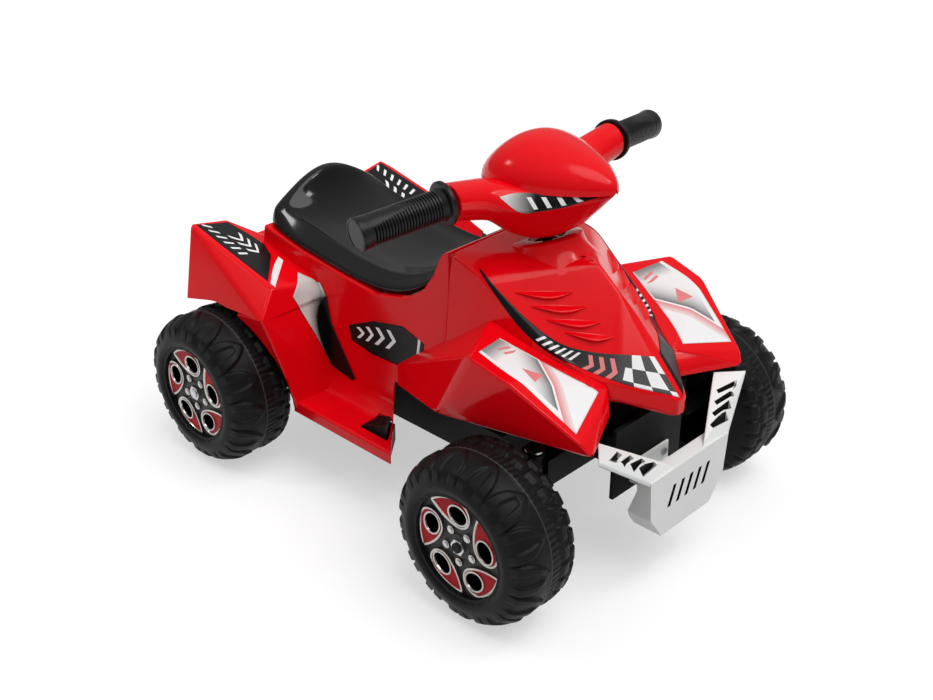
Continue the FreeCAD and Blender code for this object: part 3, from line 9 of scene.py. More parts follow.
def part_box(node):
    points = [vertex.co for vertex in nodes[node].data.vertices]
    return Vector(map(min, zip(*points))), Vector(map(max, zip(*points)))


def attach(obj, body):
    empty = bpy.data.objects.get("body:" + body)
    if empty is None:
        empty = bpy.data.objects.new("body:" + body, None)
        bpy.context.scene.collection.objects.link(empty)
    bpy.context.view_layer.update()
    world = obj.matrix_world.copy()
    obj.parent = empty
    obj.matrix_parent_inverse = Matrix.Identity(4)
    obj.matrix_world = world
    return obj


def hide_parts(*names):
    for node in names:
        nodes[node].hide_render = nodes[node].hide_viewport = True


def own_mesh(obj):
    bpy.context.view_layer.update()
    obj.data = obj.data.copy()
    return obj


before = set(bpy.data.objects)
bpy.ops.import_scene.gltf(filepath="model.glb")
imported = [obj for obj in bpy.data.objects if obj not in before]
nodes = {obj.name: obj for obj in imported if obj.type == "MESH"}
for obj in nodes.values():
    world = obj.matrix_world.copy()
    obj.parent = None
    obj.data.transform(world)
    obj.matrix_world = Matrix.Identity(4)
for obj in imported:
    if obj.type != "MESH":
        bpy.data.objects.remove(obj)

mm = 0.001
up = Vector((0, 0, 1))
weld = {"fine": 1e-6, "solid": 1e-5, "pole": 2e-5}  # distances at which points become one, in metres
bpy.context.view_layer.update()  # the scene brought up to date before any piece is added
print("frame loaded:", len(nodes), "nodes")


# Shader sockets as values
class Wire:
    def __init__(self, tree, socket=None):
        self.tree = tree
        self.socket = socket

    def make(self, kind, settings=None, inputs=None, output=0):
        node = self.tree.nodes.new(kind)
        for name, value in (settings or {}).items():
            setattr(node, name, value)
        for name, value in (inputs or {}).items():
            if isinstance(value, Wire):
                self.tree.links.new(value.socket, node.inputs[name])
            else:
                node.inputs[name].default_value = value
        return Wire(self.tree, node.outputs[output])

    def maths(self, operation, *values):
        return self.make("ShaderNodeMath", {"operation": operation}, dict(enumerate(values)))

    def mix(self, factor, a, b):  # 6, 7 and 2 are the node's colour sockets
        return self.make("ShaderNodeMix", {"data_type": "RGBA"}, {0: factor, 6: a, 7: b}, output=2)

    def ramp(self, value, start, end, low=0.0, high=1.0):
        return self.make("ShaderNodeMapRange", inputs={0: value, 1: start, 2: end, 3: low, 4: high})

    def noise(self, scale, detail):
        place = self.make("ShaderNodeTexCoord", output="Object")
        return self.make("ShaderNodeTexNoise", inputs={"Vector": place, "Scale": scale, "Detail": detail})

    def bump(self, height, strength):
        return self.make("ShaderNodeBump", inputs={"Strength": strength, "Distance": mm, "Height": height})

    def patchSpot(self):
        return self.make("ShaderNodeUVMap", {"uv_map": "UVMap"})

    def part(self, axis):
        return self.make("ShaderNodeSeparateXYZ", inputs={0: self}, output=axis)

    def __add__(self, other):
        return self.maths("ADD", self, other)

    def __radd__(self, other):
        return self.maths("ADD", other, self)

    def __sub__(self, other):
        return self.maths("SUBTRACT", self, other)

    def __rsub__(self, other):
        return self.maths("SUBTRACT", other, self)

    def __mul__(self, other):
        return self.maths("MULTIPLY", self, other)

    def __rmul__(self, other):
        return self.maths("MULTIPLY", other, self)

    def __truediv__(self, other):
        return self.maths("DIVIDE", self, other)

    def __gt__(self, other):
        return self.maths("GREATER_THAN", self, other)

    def __lt__(self, other):
        return self.maths("LESS_THAN", self, other)


def newMaterial(name, roughness=0.4, metallic=0.0, coat=0.0, shine=0.5):
    material = bpy.data.materials.new(name)
    material.use_nodes = True
    tree = material.node_tree
    shader = tree.nodes["Principled BSDF"]
    shader.inputs["Roughness"].default_value = roughness
    shader.inputs["Metallic"].default_value = metallic
    shader.inputs["Coat Weight"].default_value = coat
    shader.inputs["Coat Roughness"].default_value = 0.05
    shader.inputs["Specular IOR Level"].default_value = shine
    return material, Wire(tree), shader


def feed(wire, shader, **sockets):
    for name, value in sockets.items():
        wire.tree.links.new(value.socket, shader.inputs[name.replace("_", " ")])


def solid(red, green, blue):
    return (red, green, blue, 1.0)


# Moulded finishes: colour, shaded colour, cloud size, roughness and its spread, grain size and depth
finishes = {
    "redPlastic": {
        "colour": solid(0.80, 0.001, 0.006), "shade": solid(0.72, 0.001, 0.005), "cloud": 9,
        "roughness": 0.17, "spread": 0.06, "coat": 0.06, "shine": 0.15, "grain": 700, "depth": 0.008},
    "blackGloss": {
        "colour": solid(0.002, 0.0022, 0.002), "shade": solid(0.004, 0.0045, 0.0035), "cloud": 14,
        "roughness": 0.10, "spread": 0.06, "coat": 0.06, "shine": 0.27, "grain": 600, "depth": 0.012},
    "blackPlastic": {
        "colour": solid(0.004, 0.004, 0.0042), "shade": solid(0.008, 0.008, 0.0085), "cloud": 30,
        "roughness": 0.52, "spread": 0.14, "shine": 0.12, "grain": 900, "depth": 0.06},
    "whitePlastic": {
        "colour": solid(0.80, 0.81, 0.80), "shade": solid(0.72, 0.735, 0.72), "cloud": 12,
        "roughness": 0.36, "spread": 0.08, "shine": 0.4, "grain": 800, "depth": 0.03},
    "gripRubber": {
        "colour": solid(0.004, 0.0043, 0.0048), "shade": solid(0.008, 0.0085, 0.009), "cloud": 40,
        "roughness": 0.36, "spread": 0.12, "shine": 0.24, "grain": 1500, "depth": 0.06},
    "gearPlastic": {
        "colour": solid(0.80, 0.78, 0.72), "shade": solid(0.70, 0.68, 0.62), "cloud": 60,
        "roughness": 0.40, "spread": 0.10, "shine": 0.5, "grain": 900, "depth": 0.03},
    "leadRubber": {
        "colour": solid(0.020, 0.020, 0.022), "shade": solid(0.035, 0.035, 0.037), "cloud": 60,
        "roughness": 0.50, "spread": 0.10, "shine": 0.4, "grain": 2000, "depth": 0.05},
    "zincSteel": {
        "colour": solid(0.62, 0.63, 0.64), "shade": solid(0.45, 0.46, 0.47), "cloud": 90, "metallic": 1.0,
        "roughness": 0.30, "spread": 0.16, "shine": 0.5, "grain": 1200, "depth": 0.05},
    "silverPaint": {
        "colour": solid(0.72, 0.68, 0.65), "shade": solid(0.20, 0.18, 0.17), "cloud": 70, "metallic": 1.0,
        "roughness": 0.20, "spread": 0.10, "shine": 0.5, "grain": 1500, "depth": 0.02},
}


def mouldedFinish(name):
    look = finishes[name]
    material, wire, shader = newMaterial(name, metallic=look.get("metallic", 0.0), coat=look.get("coat", 0.0),
                                         shine=look["shine"])
    cloud = wire.noise(look["cloud"], 3.0)
    grain = wire.noise(look["grain"], 2.0)
    roughness = look["roughness"] + (cloud - 0.5) * look["spread"] + (grain - 0.5) * look["spread"]
    colour = wire.mix(cloud, look["colour"], look["shade"])
    feed(wire, shader, Base_Color=colour, Roughness=roughness, Normal=wire.bump(grain, look["depth"]))
    return material


materials = {name: mouldedFinish(name) for name in finishes}
print("moulded finishes:", len(materials))


# Small builders
def newPiece(name, shape, body, materialNames, replaces=()):
    mesh = bpy.data.meshes.new(name)
    shape.to_mesh(mesh)
    shape.free()
    piece = bpy.data.objects.new(name, mesh)
    bpy.context.scene.collection.objects.link(piece)
    for materialName in materialNames:
        mesh.materials.append(materials[materialName])
    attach(piece, body)
    if replaces:
        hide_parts(*replaces)
    return piece


def smoothed(shape, sharpAngle=35):
    for face in shape.faces:
        face.smooth = True
    for edge in shape.edges:
        edge.smooth = edge.calc_face_angle(0) < math.radians(sharpAngle)


def softened(piece):
    soft = piece.modifiers.new("soft", "SUBSURF")
    soft.levels = soft.render_levels = 3


def spun(spots, axis, steps, mergeDistance):
    shape = bmesh.new()
    verts = [shape.verts.new(spot) for spot in spots]
    edges = [shape.edges.new(pair) for pair in zip(verts, verts[1:])]
    bmesh.ops.spin(shape, geom=verts + edges, axis=axis, cent=(0, 0, 0), angle=2 * math.pi, steps=steps,
                   use_merge=True)
    bmesh.ops.remove_doubles(shape, verts=shape.verts, dist=mergeDistance)
    bmesh.ops.recalc_face_normals(shape, faces=shape.faces)
    return shape


def softStep(value, low, high):
    share = min(max((value - low) / (high - low), 0), 1)
    return share * share * (3 - 2 * share)


def between(points, share, curved=True):  # a place on the line, or on the curve through all points
    spots = [Vector(point) for point in points]
    place = share * (len(spots) - 1)
    index = min(int(place), len(spots) - 2)
    part = place - index
    a, b = spots[index], spots[index + 1]
    if not curved:
        return a.lerp(b, part)
    before = spots[index - 1] if index else a * 2 - b
    after = spots[index + 2] if index + 2 < len(spots) else b * 2 - a
    return 0.5 * (2 * a + (b - before) * part + (2 * before - 5 * a + 4 * b - after) * part ** 2
                  + (3 * a - before - 3 * b + after) * part ** 3)


# Shells from the solids, with soft outer edges; the bumper's slot walls take the black finish as painted
# shade
shells = {
    "bodyShell": {"node": "main_body", "finish": ["redPlastic"], "slot": "red_plastic",
                  "edge": 3.2 * mm, "crease": 5 * mm},
    "cowlShell": {"node": "front_cowl", "finish": ["redPlastic"], "slot": "red_plastic",
                  "edge": 3.2 * mm, "crease": 9 * mm},
    # the bumper's second finish, black, is painted shade on the walls inside its slots
    "bumperShell": {"node": "front_bumper", "finish": ["whitePlastic", "blackPlastic"],
                    "slot": "white_plastic", "edge": 1.4 * mm, "crease": 2 * mm, "slotWidth": 16 * mm},
}
softEdge = {"segments": 3, "flatAngle": 4, "creaseAngle": 38, "shortest": 6 * mm, "share": 0.42,
            "rayStart": 0.3, "lowestRay": -0.15, "slotRayStart": 0.2}


def seesOut(tree, start, way):
    if way.length <= 0.1:  # the two directions cancel out
        return False
    way = way.normalized()
    return way.z > softEdge["lowestRay"] and tree.ray_cast(start, way)[0] is None


def outerFaces(shape):
    tree = BVHTree.FromBMesh(shape)
    found = set()
    for face in shape.faces:
        start = face.calc_center_median() + face.normal * softEdge["rayStart"] * mm
        ways = (face.normal, face.normal + up, face.normal * 2 + up)
        if any(seesOut(tree, start, way) for way in ways):
            found.add(face)
    return found


# Faces that have a wall close in front of them take the second finish, as painted shade inside the slots
def paintSlotShade(shape, widest):
    tree = BVHTree.FromBMesh(shape)
    for face in shape.faces:
        if face.calc_area() > 4 * widest * widest:  # too large for a slot's wall
            continue
        middle = face.calc_center_median()
        away = face.normal * softEdge["slotRayStart"] * mm
        starts = [middle] + [middle.lerp(vert.co, 0.7) for vert in face.verts]
        if any(tree.ray_cast(start + away, face.normal, widest)[0] for start in starts):
            face.material_index = 1


def softShell(name, shell):
    shape = bmesh.new()
    shape.from_mesh(nodes[shell["node"]].data)
    bmesh.ops.remove_doubles(shape, verts=shape.verts, dist=weld["solid"])
    bmesh.ops.dissolve_limit(shape, angle_limit=math.radians(1), verts=shape.verts, edges=shape.edges)
    outer = outerFaces(shape)
    weights = shape.edges.layers.float.new("bevel_weight_edge")
    widest = max(shell["edge"], shell["crease"])
    for edge in shape.edges:
        if len(edge.link_faces) != 2 or not edge.is_convex or not outer.issuperset(edge.link_faces):
            continue
        angle = math.degrees(edge.calc_face_angle())
        if angle < softEdge["flatAngle"] or edge.calc_length() < softEdge["shortest"]:
            continue
        near = min(other.calc_length() for vert in edge.verts for other in vert.link_edges)
        wanted = shell["crease"] if angle < softEdge["creaseAngle"] else shell["edge"]
        edge[weights] = min(wanted, near * softEdge["share"]) / widest
    if "slotWidth" in shell:
        paintSlotShade(shape, shell["slotWidth"])
    smoothed(shape)
    piece = newPiece(name, shape, "chassis", shell["finish"], [shell["node"]])
    bevel = piece.modifiers.new("softEdges", "BEVEL")
    bevel.limit_method = "WEIGHT"
    bevel.width = widest
    bevel.segments = softEdge["segments"]
    bevel.profile = 0.5
    bevel.use_clamp_overlap = False
    normals = piece.modifiers.new("evenNormals", "WEIGHTED_NORMAL")
    normals.keep_sharp = True
    return piece


shellPieces = {name: softShell(name, shell) for name, shell in shells.items()}
print("shells:", len(shellPieces))


# Lower handlebar cover: sections across, from the prow in the middle to the two grip flanges
lowerBar = {
    "bowl": {
        0: [(52, 420), (62, 394), (76, 366), (94, 355), (134, 355), (160, 366), (188, 390), (219, 422),
            (206, 426), (176, 426), (130, 424), (84, 421)],
        20: [(53, 420), (61, 395), (76, 365), (94, 354), (134, 354), (160, 365), (182, 390), (204, 418),
             (204, 425), (172, 426), (130, 424), (84, 421)],
        40: [(58, 420), (62, 397), (78, 368), (96, 357), (132, 358), (152, 370), (168, 390), (183, 412),
             (182, 423), (158, 426), (125, 424), (84, 421)],
        57: [(66, 419), (66, 399), (80, 380), (96, 372), (122, 373), (140, 382), (151, 393), (163, 406),
             (154, 422), (136, 427), (110, 428), (84, 424)],
        72: [(74, 421), (71, 406), (79, 390), (92, 383), (108, 384), (124, 389), (136, 396), (147, 404),
             (135, 421), (118, 430), (100, 433), (84, 430)]},
    "armRoot": (95, 42, 402), "armEnd": (102, 136.5, 423), "rootRadius": 25.0, "endRadius": 22.3,
    "armStations": [88, 104, 120, 133, 136.5], "swell": {88: 5.0, 104: 1.5},
    "armAngles": [165, 198, 228, 254, 280, 306, 332, -4, 26, 60, 95, 130],
    "creaseAt": 7, "creaseEnd": 90, "crease": 0.55,
}


def armSection(y):
    root, end = Vector(lowerBar["armRoot"]), Vector(lowerBar["armEnd"])
    share = (y - root.y) / (end.y - root.y)
    centre = root.lerp(end, share)
    radius = lowerBar["rootRadius"] + (lowerBar["endRadius"] - lowerBar["rootRadius"]) * share
    section = []
    for angle in lowerBar["armAngles"]:
        turn = math.radians(angle)
        reach = radius + lowerBar["swell"].get(y, 0.0) * max(0.0, math.cos(turn)) ** 2
        section.append((centre.x + reach * math.cos(turn), centre.z + reach * math.sin(turn)))
    return section


def lowerBarPiece():
    half = sorted(lowerBar["bowl"].items()) + [(y, armSection(y)) for y in lowerBar["armStations"]]
    stations = [(-y, section) for y, section in reversed(half[1:])] + half
    shape = bmesh.new()
    creases = shape.edges.layers.float.new("crease_edge")
    count = len(lowerBar["armAngles"])
    bmesh.ops.create_grid(shape, x_segments=len(stations) - 1, y_segments=count, size=0.5)
    ridge = set()
    for vert in shape.verts:
        y, section = stations[round((vert.co.x + 0.5) * (len(stations) - 1))]
        spot = round((vert.co.y + 0.5) * count) % count
        x, z = section[spot]
        vert.co = Vector((x, y, z)) * mm
        if spot == lowerBar["creaseAt"] and abs(y) < lowerBar["creaseEnd"]:
            ridge.add(vert)
    bmesh.ops.remove_doubles(shape, verts=shape.verts, dist=weld["solid"])
    ends = [edge for edge in shape.edges if edge.is_boundary]
    for edge in shape.edges:
        if all(vert in ridge for vert in edge.verts):
            edge[creases] = lowerBar["crease"]
    for edge in ends:
        edge[creases] = 1.0
    bmesh.ops.holes_fill(shape, edges=ends, sides=0)
    bmesh.ops.recalc_face_normals(shape, faces=shape.faces)
    smoothed(shape, 180)
    piece = newPiece("lowerBarCover", shape, "handlebar", ["redPlastic"],
                     ["handlebar_lower_cover"])
    softened(piece)
    return piece


# Domed upper cover: arches across, each with its half width and height over the seam
dome = {
    "arches": [(47.5, 14, 3), (54, 31, 14), (63, 45, 26), (81, 59.5, 43), (103, 66.5, 52.4), (131, 62.5, 49),
               (161, 51.5, 41), (190, 35, 30), (209, 18, 19), (217, 8, 11), (219.5, 2, 5)],
    "seam": ((49, 418), (220, 425)), "spans": 14, "fullness": 0.9,
}


def domeSpot(x, half, height, share):
    (x0, z0), (x1, z1) = dome["seam"]
    base = z0 + (z1 - z0) * (x - x0) / (x1 - x0)
    turn = math.pi * share
    return Vector((x, -half * math.cos(turn), base + height * math.sin(turn) ** dome["fullness"])) * mm


def domePiece():
    rows, spans = len(dome["arches"]) - 1, dome["spans"]
    shape = bmesh.new()
    creases = shape.edges.layers.float.new("crease_edge")
    bmesh.ops.create_grid(shape, x_segments=rows, y_segments=spans, size=0.5)
    for vert in shape.verts:
        arch = dome["arches"][round((vert.co.x + 0.5) * rows)]
        vert.co = domeSpot(*arch, vert.co.y + 0.5)
    border = [edge for edge in shape.edges if edge.is_boundary]
    for edge in border:
        edge[creases] = 1.0
    bmesh.ops.holes_fill(shape, edges=border, sides=0)
    bmesh.ops.recalc_face_normals(shape, faces=shape.faces)
    smoothed(shape, 80)
    softened(newPiece("domeCover", shape, "handlebar", ["redPlastic"],
                      ["handlebar_upper_cover"]))


shellPieces["lowerBarCover"] = lowerBarPiece()
domePiece()
print("handlebar cover done")


# Neck collar on the hood, round the steering column
collar = {
    "foot": (130, 0, 332), "rake": 16.5, "steps": 96,
    "profile": [(58, -16), (51, -6), (45, 3), (42.5, 10), (41.5, 17), (39, 18.5), (22, 18), (20, 12)],
}


def collarPiece():
    spots = [(radius * mm, 0, height * mm) for radius, height in collar["profile"]]
    shape = spun(spots, (0, 0, 1), collar["steps"], weld["fine"])
    lean = Matrix.Rotation(math.radians(-collar["rake"]), 4, "Y")
    place = Matrix.Translation(Vector(collar["foot"]) * mm)
    bmesh.ops.transform(shape, matrix=place @ lean, verts=shape.verts)
    smoothed(shape, 50)
    newPiece("neckCollar", shape, "chassis", ["redPlastic"])


collarPiece()
print("neck collar done")


# Stickers: thin patches laid on a shell, with their own map in millimetres
foilLook = {"roughness": 0.25, "spread": 0.12, "shine": 0.18, "scuff": 60.0, "lift": 0.45, "thickness": 0.25,
            "outward": (0.2, -0.6, 0.8), "reach": 18 * mm}


def surfaceOf(piece):
    return BVHTree.FromObject(piece, bpy.context.evaluated_depsgraph_get())


surfaces = {shellName: surfaceOf(piece) for shellName, piece in shellPieces.items()}


def thrown(tree, place, facing):  # the shell's point under a place, or else its nearest point
    reach = foilLook["reach"]
    at, normal = tree.ray_cast(place + facing * reach, -facing, reach * 3)[:2]
    if at is None:
        at, normal = tree.find_nearest(place)[:2]
    return at, normal


def laidPatch(name, shellName, inner, outer, materialName, side, curved=True, lift=foilLook["lift"],
              columns=80, rows=24, foil=True):
    tree = surfaces[shellName]
    shape = bmesh.new()
    bmesh.ops.create_grid(shape, x_segments=columns, y_segments=rows, size=0.5)
    mapLayer = shape.loops.layers.uv.new("UVMap")
    spots = {}
    length = sum((Vector(b) - Vector(a)).length for a, b in zip(inner, inner[1:]))
    middle = len(inner) // 2
    crossways = Vector(outer[middle]) - Vector(inner[middle])
    width = crossways.length
    facing = (Vector(inner[-1]) - Vector(inner[0])).cross(crossways).normalized()
    if facing.dot(Vector(foilLook["outward"])) < 0:
        facing.negate()
    facing.y *= side
    for vert in shape.verts:
        along, across = vert.co.x + 0.5, vert.co.y + 0.5
        spots[vert] = (along * length, across * width)
        place = between(inner, along, curved).lerp(between(outer, along, curved), across) * mm
        place.y *= side
        at, normal = thrown(tree, place, facing)
        rise = lift(along, across) if callable(lift) else lift
        vert.co = at + (normal if normal.dot(facing) > 0 else -normal) * rise * mm
    for face in shape.faces:
        for loop in face.loops:
            loop[mapLayer].uv = spots[loop.vert]
    bmesh.ops.recalc_face_normals(shape, faces=shape.faces)
    if sum(face.normal.dot(facing) for face in shape.faces) < 0:
        bmesh.ops.reverse_faces(shape, faces=shape.faces)
    smoothed(shape, 60)
    body = "handlebar" if "Bar" in shellName else "chassis"
    piece = newPiece(name, shape, body, [materialName])
    if foil:
        thickness = piece.modifiers.new("foil", "SOLIDIFY")
        thickness.thickness = foilLook["thickness"] * mm
        thickness.offset = -1


def foilMaterial(name):
    material, wire, shader = newMaterial(name, roughness=foilLook["roughness"], shine=foilLook["shine"])
    materials[name] = material
    spot = wire.patchSpot()
    scuff = wire.noise(foilLook["scuff"], 4.0)
    feed(wire, shader, Roughness=foilLook["roughness"] + (scuff - 0.5) * foilLook["spread"])
    return wire, shader, spot.part("X"), spot.part("Y"), scuff


def bandMask(wire, step, across, count, share, low, high):
    inside = (step > 0) * (step < count)
    bar = wire.maths("FRACT", step) < share
    return inside * bar * (across > low) * (across < high)


def slashMask(wire, along, across, start, count, pitch, width, low, high, lean):
    step = (along + across * lean - start) / pitch
    return bandMask(wire, step, across, count, width / pitch, low, high)


def arrowMask(wire, along, across, start, count, pitch, share, low, high, ridge, lean):
    step = (along + wire.maths("ABSOLUTE", across - ridge) * lean - start) / pitch
    return bandMask(wire, step, across, count, share, low, high)


inkBlack = solid(0.004, 0.004, 0.0045)
inkCoal = solid(0.008, 0.008, 0.0085)
inkGrey = solid(0.07, 0.07, 0.07)
inkWhite = solid(0.82, 0.82, 0.82)
inkChalk = solid(0.74, 0.74, 0.73)
inkPink = solid(0.72, 0.22, 0.22)
inkSilver = solid(0.62, 0.62, 0.60)
inkTin = solid(0.48, 0.48, 0.46)

# Marks of the stickers: places and sizes in millimetres along and across each patch
hoodMarks = {
    "fade": (120.0, 215.0), "flagFrom": 190.0, "flagSquare": (13.0, 7.0), "flagLean": 0.25,
    "slashes": {"start": 98.0, "count": 6, "pitch": 8.4, "width": 3.4, "low": 3.0, "high": 13.0,
                "lean": 0.30},
    "arrows": {"start": 158.0, "count": 2.6, "pitch": 11.0, "share": 0.42, "low": 3.0, "high": 19.0,
               "ridge": 11.0, "lean": 0.9},
}


def hoodFoil():
    wire, shader, along, across, scuff = foilMaterial("hoodFoil")
    ground = wire.mix(wire.ramp(along, *hoodMarks["fade"]), inkBlack, inkGrey)
    slashes = slashMask(wire, along, across, **hoodMarks["slashes"])
    arrows = arrowMask(wire, along, across, **hoodMarks["arrows"])
    long, wide = hoodMarks["flagSquare"]
    column = wire.maths("FLOOR", (along - across * hoodMarks["flagLean"]) / long)
    row = wire.maths("FLOOR", across / wide)
    flag = (along > hoodMarks["flagFrom"]) * (wire.maths("FLOORED_MODULO", column + row, 2.0) > 0.5)
    marks = wire.mix(arrows, wire.mix(slashes, ground, inkWhite), inkPink)
    feed(wire, shader, Base_Color=wire.mix(flag, marks, inkWhite))


def plainFoil():
    wire, shader, along, across, scuff = foilMaterial("plainFoil")
    slashes = slashMask(wire, along, across, **hoodMarks["slashes"])
    feed(wire, shader, Base_Color=wire.mix(slashes, wire.mix(scuff, inkBlack, inkCoal), inkWhite))


tailMarks = {
    "slashes": {"start": 14.0, "count": 7, "pitch": 10.0, "width": 3.2, "low": 43.0, "high": 56.0,
                "lean": 0.45},
    "arrows": {"start": 34.0, "count": 3.0, "pitch": 14.0, "share": 0.36, "low": 12.0, "high": 36.0,
               "ridge": 24.0, "lean": 1.0},
}


def tailFoil():
    wire, shader, along, across, scuff = foilMaterial("tailFoil")
    slashes = slashMask(wire, along, across, **tailMarks["slashes"])
    arrows = arrowMask(wire, along, across, **tailMarks["arrows"])
    marks = wire.maths("MAXIMUM", slashes, arrows)
    feed(wire, shader, Base_Color=wire.mix(marks, wire.mix(scuff, inkBlack, inkCoal), inkWhite))


def whiteFoil():
    wire, shader, along, across, scuff = foilMaterial("whiteFoil")
    feed(wire, shader, Base_Color=wire.mix(scuff, inkWhite, inkChalk))


slopeMarks = {"fade": (16.0, 58.0), "lean": 2.6, "dotScale": 0.45, "base": 0.7, "dots": 0.2}


def slopeFoil():
    wire, shader, along, across, scuff = foilMaterial("slopeFoil")
    fade = wire.ramp(along - across * slopeMarks["lean"], *slopeMarks["fade"])
    dots = wire.make("ShaderNodeTexVoronoi", inputs={
        "Vector": wire.patchSpot(), "Scale": slopeMarks["dotScale"]})
    speck = fade * (slopeMarks["base"] + dots * slopeMarks["dots"])
    dark = wire.maths("MINIMUM", speck + fade * fade, 1.0)
    feed(wire, shader, Base_Color=wire.mix(dark, wire.mix(scuff, inkSilver, inkTin), inkBlack))


sideMarks = {
    "endLine": (126.0, 131.0),
    "arrows": {"start": 24.0, "count": 4.0, "pitch": 18.0, "share": 0.34, "low": 9.0, "high": 35.0,
               "ridge": 22.0, "lean": 0.8},
}


def sideFoil():
    wire, shader, along, across, scuff = foilMaterial("sideFoil")
    arrows = arrowMask(wire, along, across, **sideMarks["arrows"])
    start, end = sideMarks["endLine"]
    marks = wire.maths("MAXIMUM", arrows, (along > start) * (along < end))
    feed(wire, shader, Base_Color=wire.mix(marks, wire.mix(scuff, inkBlack, inkCoal), inkWhite))


barMarks = {
    "fade": (10.0, 46.0),
    "slashes": {"start": 34.0, "count": 4, "pitch": 15.0, "width": 5.0, "low": 4.0, "high": 16.0,
                "lean": -0.6},
}


def barFoil():
    wire, shader, along, across, scuff = foilMaterial("barFoil")
    slashes = slashMask(wire, along, across, **barMarks["slashes"])
    ground = wire.mix(wire.ramp(along, *barMarks["fade"]), inkSilver, inkBlack)
    feed(wire, shader, Base_Color=wire.mix(slashes, ground, inkWhite))


fenderMarks = {
    "lean": 0.9, "fade": (4.0, 48.0), "fadeDepth": 0.9, "start": (24.0, 4.0), "startDepth": 0.75,
    "border": (2.5, 56.0), "line": (48.0, 51.5), "strip": (70.0, 51.0), "stripEnd": 66.0,
    "bars": {"from": 8.0, "to": 26.0, "lean": 0.3, "pitch": 9.0, "share": 0.45, "low": 8.0, "high": 30.0},
    "wedge": {"row": 36.0, "from": 46.0, "to": 66.0, "slope": 0.55},
}


def fenderBars(wire, along, across):
    bars = fenderMarks["bars"]
    step = wire.maths("FRACT", (along + across * bars["lean"]) / bars["pitch"]) < bars["share"]
    inside = (along > bars["from"]) * (along < bars["to"]) * (across > bars["low"]) * (across < bars["high"])
    return inside * step


def fenderWedge(wire, along, across):
    wedge = fenderMarks["wedge"]
    edge = wire.maths("ABSOLUTE", across - wedge["row"]) - (along - wedge["from"]) * wedge["slope"]
    return (edge < 0.0) * (along < wedge["to"])


def fenderFoil():
    wire, shader, along, across, scuff = foilMaterial("fenderFoil")
    slant = along - across * fenderMarks["lean"]
    near = wire.ramp(slant, *fenderMarks["fade"])
    start = wire.ramp(along, *fenderMarks["start"])
    dark = wire.maths("MAXIMUM", near * near * fenderMarks["fadeDepth"], start * fenderMarks["startDepth"])
    low, high = fenderMarks["border"]
    border = wire.maths("MAXIMUM", across < low, across > high)
    ground = wire.mix(dark * (1.0 - border), inkWhite, inkGrey)
    marks = wire.maths("MAXIMUM", fenderBars(wire, along, across), fenderWedge(wire, along, across))
    colour = wire.mix(marks, ground, inkPink)
    strip = wire.ramp(slant, *fenderMarks["strip"]) * (slant < fenderMarks["stripEnd"])
    colour = wire.mix(slant > fenderMarks["strip"][1], colour, wire.mix(strip, inkWhite, inkPink))
    lineStart, lineEnd = fenderMarks["line"]
    feed(wire, shader, Base_Color=wire.mix((slant > lineStart) * (slant < lineEnd), colour, inkWhite))


for foil in (hoodFoil, plainFoil, tailFoil, whiteFoil, slopeFoil, sideFoil, barFoil, fenderFoil):
    foil()

# Edges of each sticker on the rider's right, in millimetres; the left ones are mirrored
stickers = {
    "hoodBand": {
        "shell": "cowlShell", "foil": "hoodFoil", "leftFoil": "plainFoil",
        "inner": [(106, -92, 335), (140, -92, 314), (177, -85.7, 290), (211, -74.3, 272), (240, -54, 264),
                  (268, -26, 260), (286, -4, 256)],
        "outer": [(108, -94, 333), (138, -96.5, 310), (172, -93.5, 282), (205, -86, 263), (240, -73, 252),
                  (278, -46, 236), (322, -3, 219)]},
    "tailPanel": {
        "shell": "bodyShell", "foil": "tailFoil", "curved": False,
        "inner": [(-326, -116, 271), (-290, -109, 262), (-264, -106, 256), (-238, -116, 250)],
        "outer": [(-330, -162, 280), (-280, -163, 268), (-232, -163, 257), (-186, -163, 246)]},
    "tailStripe": {
        "shell": "bodyShell", "foil": "whiteFoil",
        "inner": [(-232, -109, 249), (-212, -133, 248), (-181, -163, 245)],
        "outer": [(-222, -109, 247), (-200, -133, 245), (-172, -163, 243)]},
    "slopePanel": {
        "shell": "bodyShell", "foil": "slopeFoil", "curved": False, "lift": 1.2,
        "inner": [(-161, -100, 232), (-150, -101, 216), (-138, -105, 186), (-87, -112, 126)],
        "outer": [(-196, -110, 236), (-172, -141, 220), (-138, -126, 178), (-91, -113, 124)]},
    "sidePanel": {
        "shell": "bodyShell", "foil": "sideFoil", "curved": False,
        "inner": [(-104, -104, 194), (-60, -102, 214), (-10, -101, 224), (28, -101, 214)],
        "outer": [(-98, -107, 176), (-60, -107, 170), (-10, -107, 172), (26, -105, 196)]},
    "barPanel": {
        "shell": "lowerBarCover", "foil": "barFoil",
        "inner": [(126, -82, 420), (137, -66, 423), (158, -49, 423), (182, -31, 423), (205, -14, 423)],
        "outer": [(127, -81, 418), (146, -71, 405), (164, -56, 407), (184, -39, 413), (206, -15, 422)]},
    "fenderPanel": {
        "shell": "cowlShell", "foil": "fenderFoil",
        "inner": [(162, -118, 277), (196, -106, 264), (234, -93, 250), (268, -77, 234)],
        "outer": [(172, -162, 280), (212, -162, 268), (252, -153, 248), (292, -142, 221)]},
}
sides = (("Right", 1), ("Left", -1))
for stickerName, sticker in stickers.items():
    for sideName, side in sides:
        foilName = sticker.get("leftFoil", sticker["foil"]) if side < 0 else sticker["foil"]
        laidPatch(stickerName + sideName, sticker["shell"], sticker["inner"], sticker["outer"], foilName,
                  side, sticker.get("curved", True), sticker.get("lift", foilLook["lift"]))
print("stickers:", len(stickers) * 2)


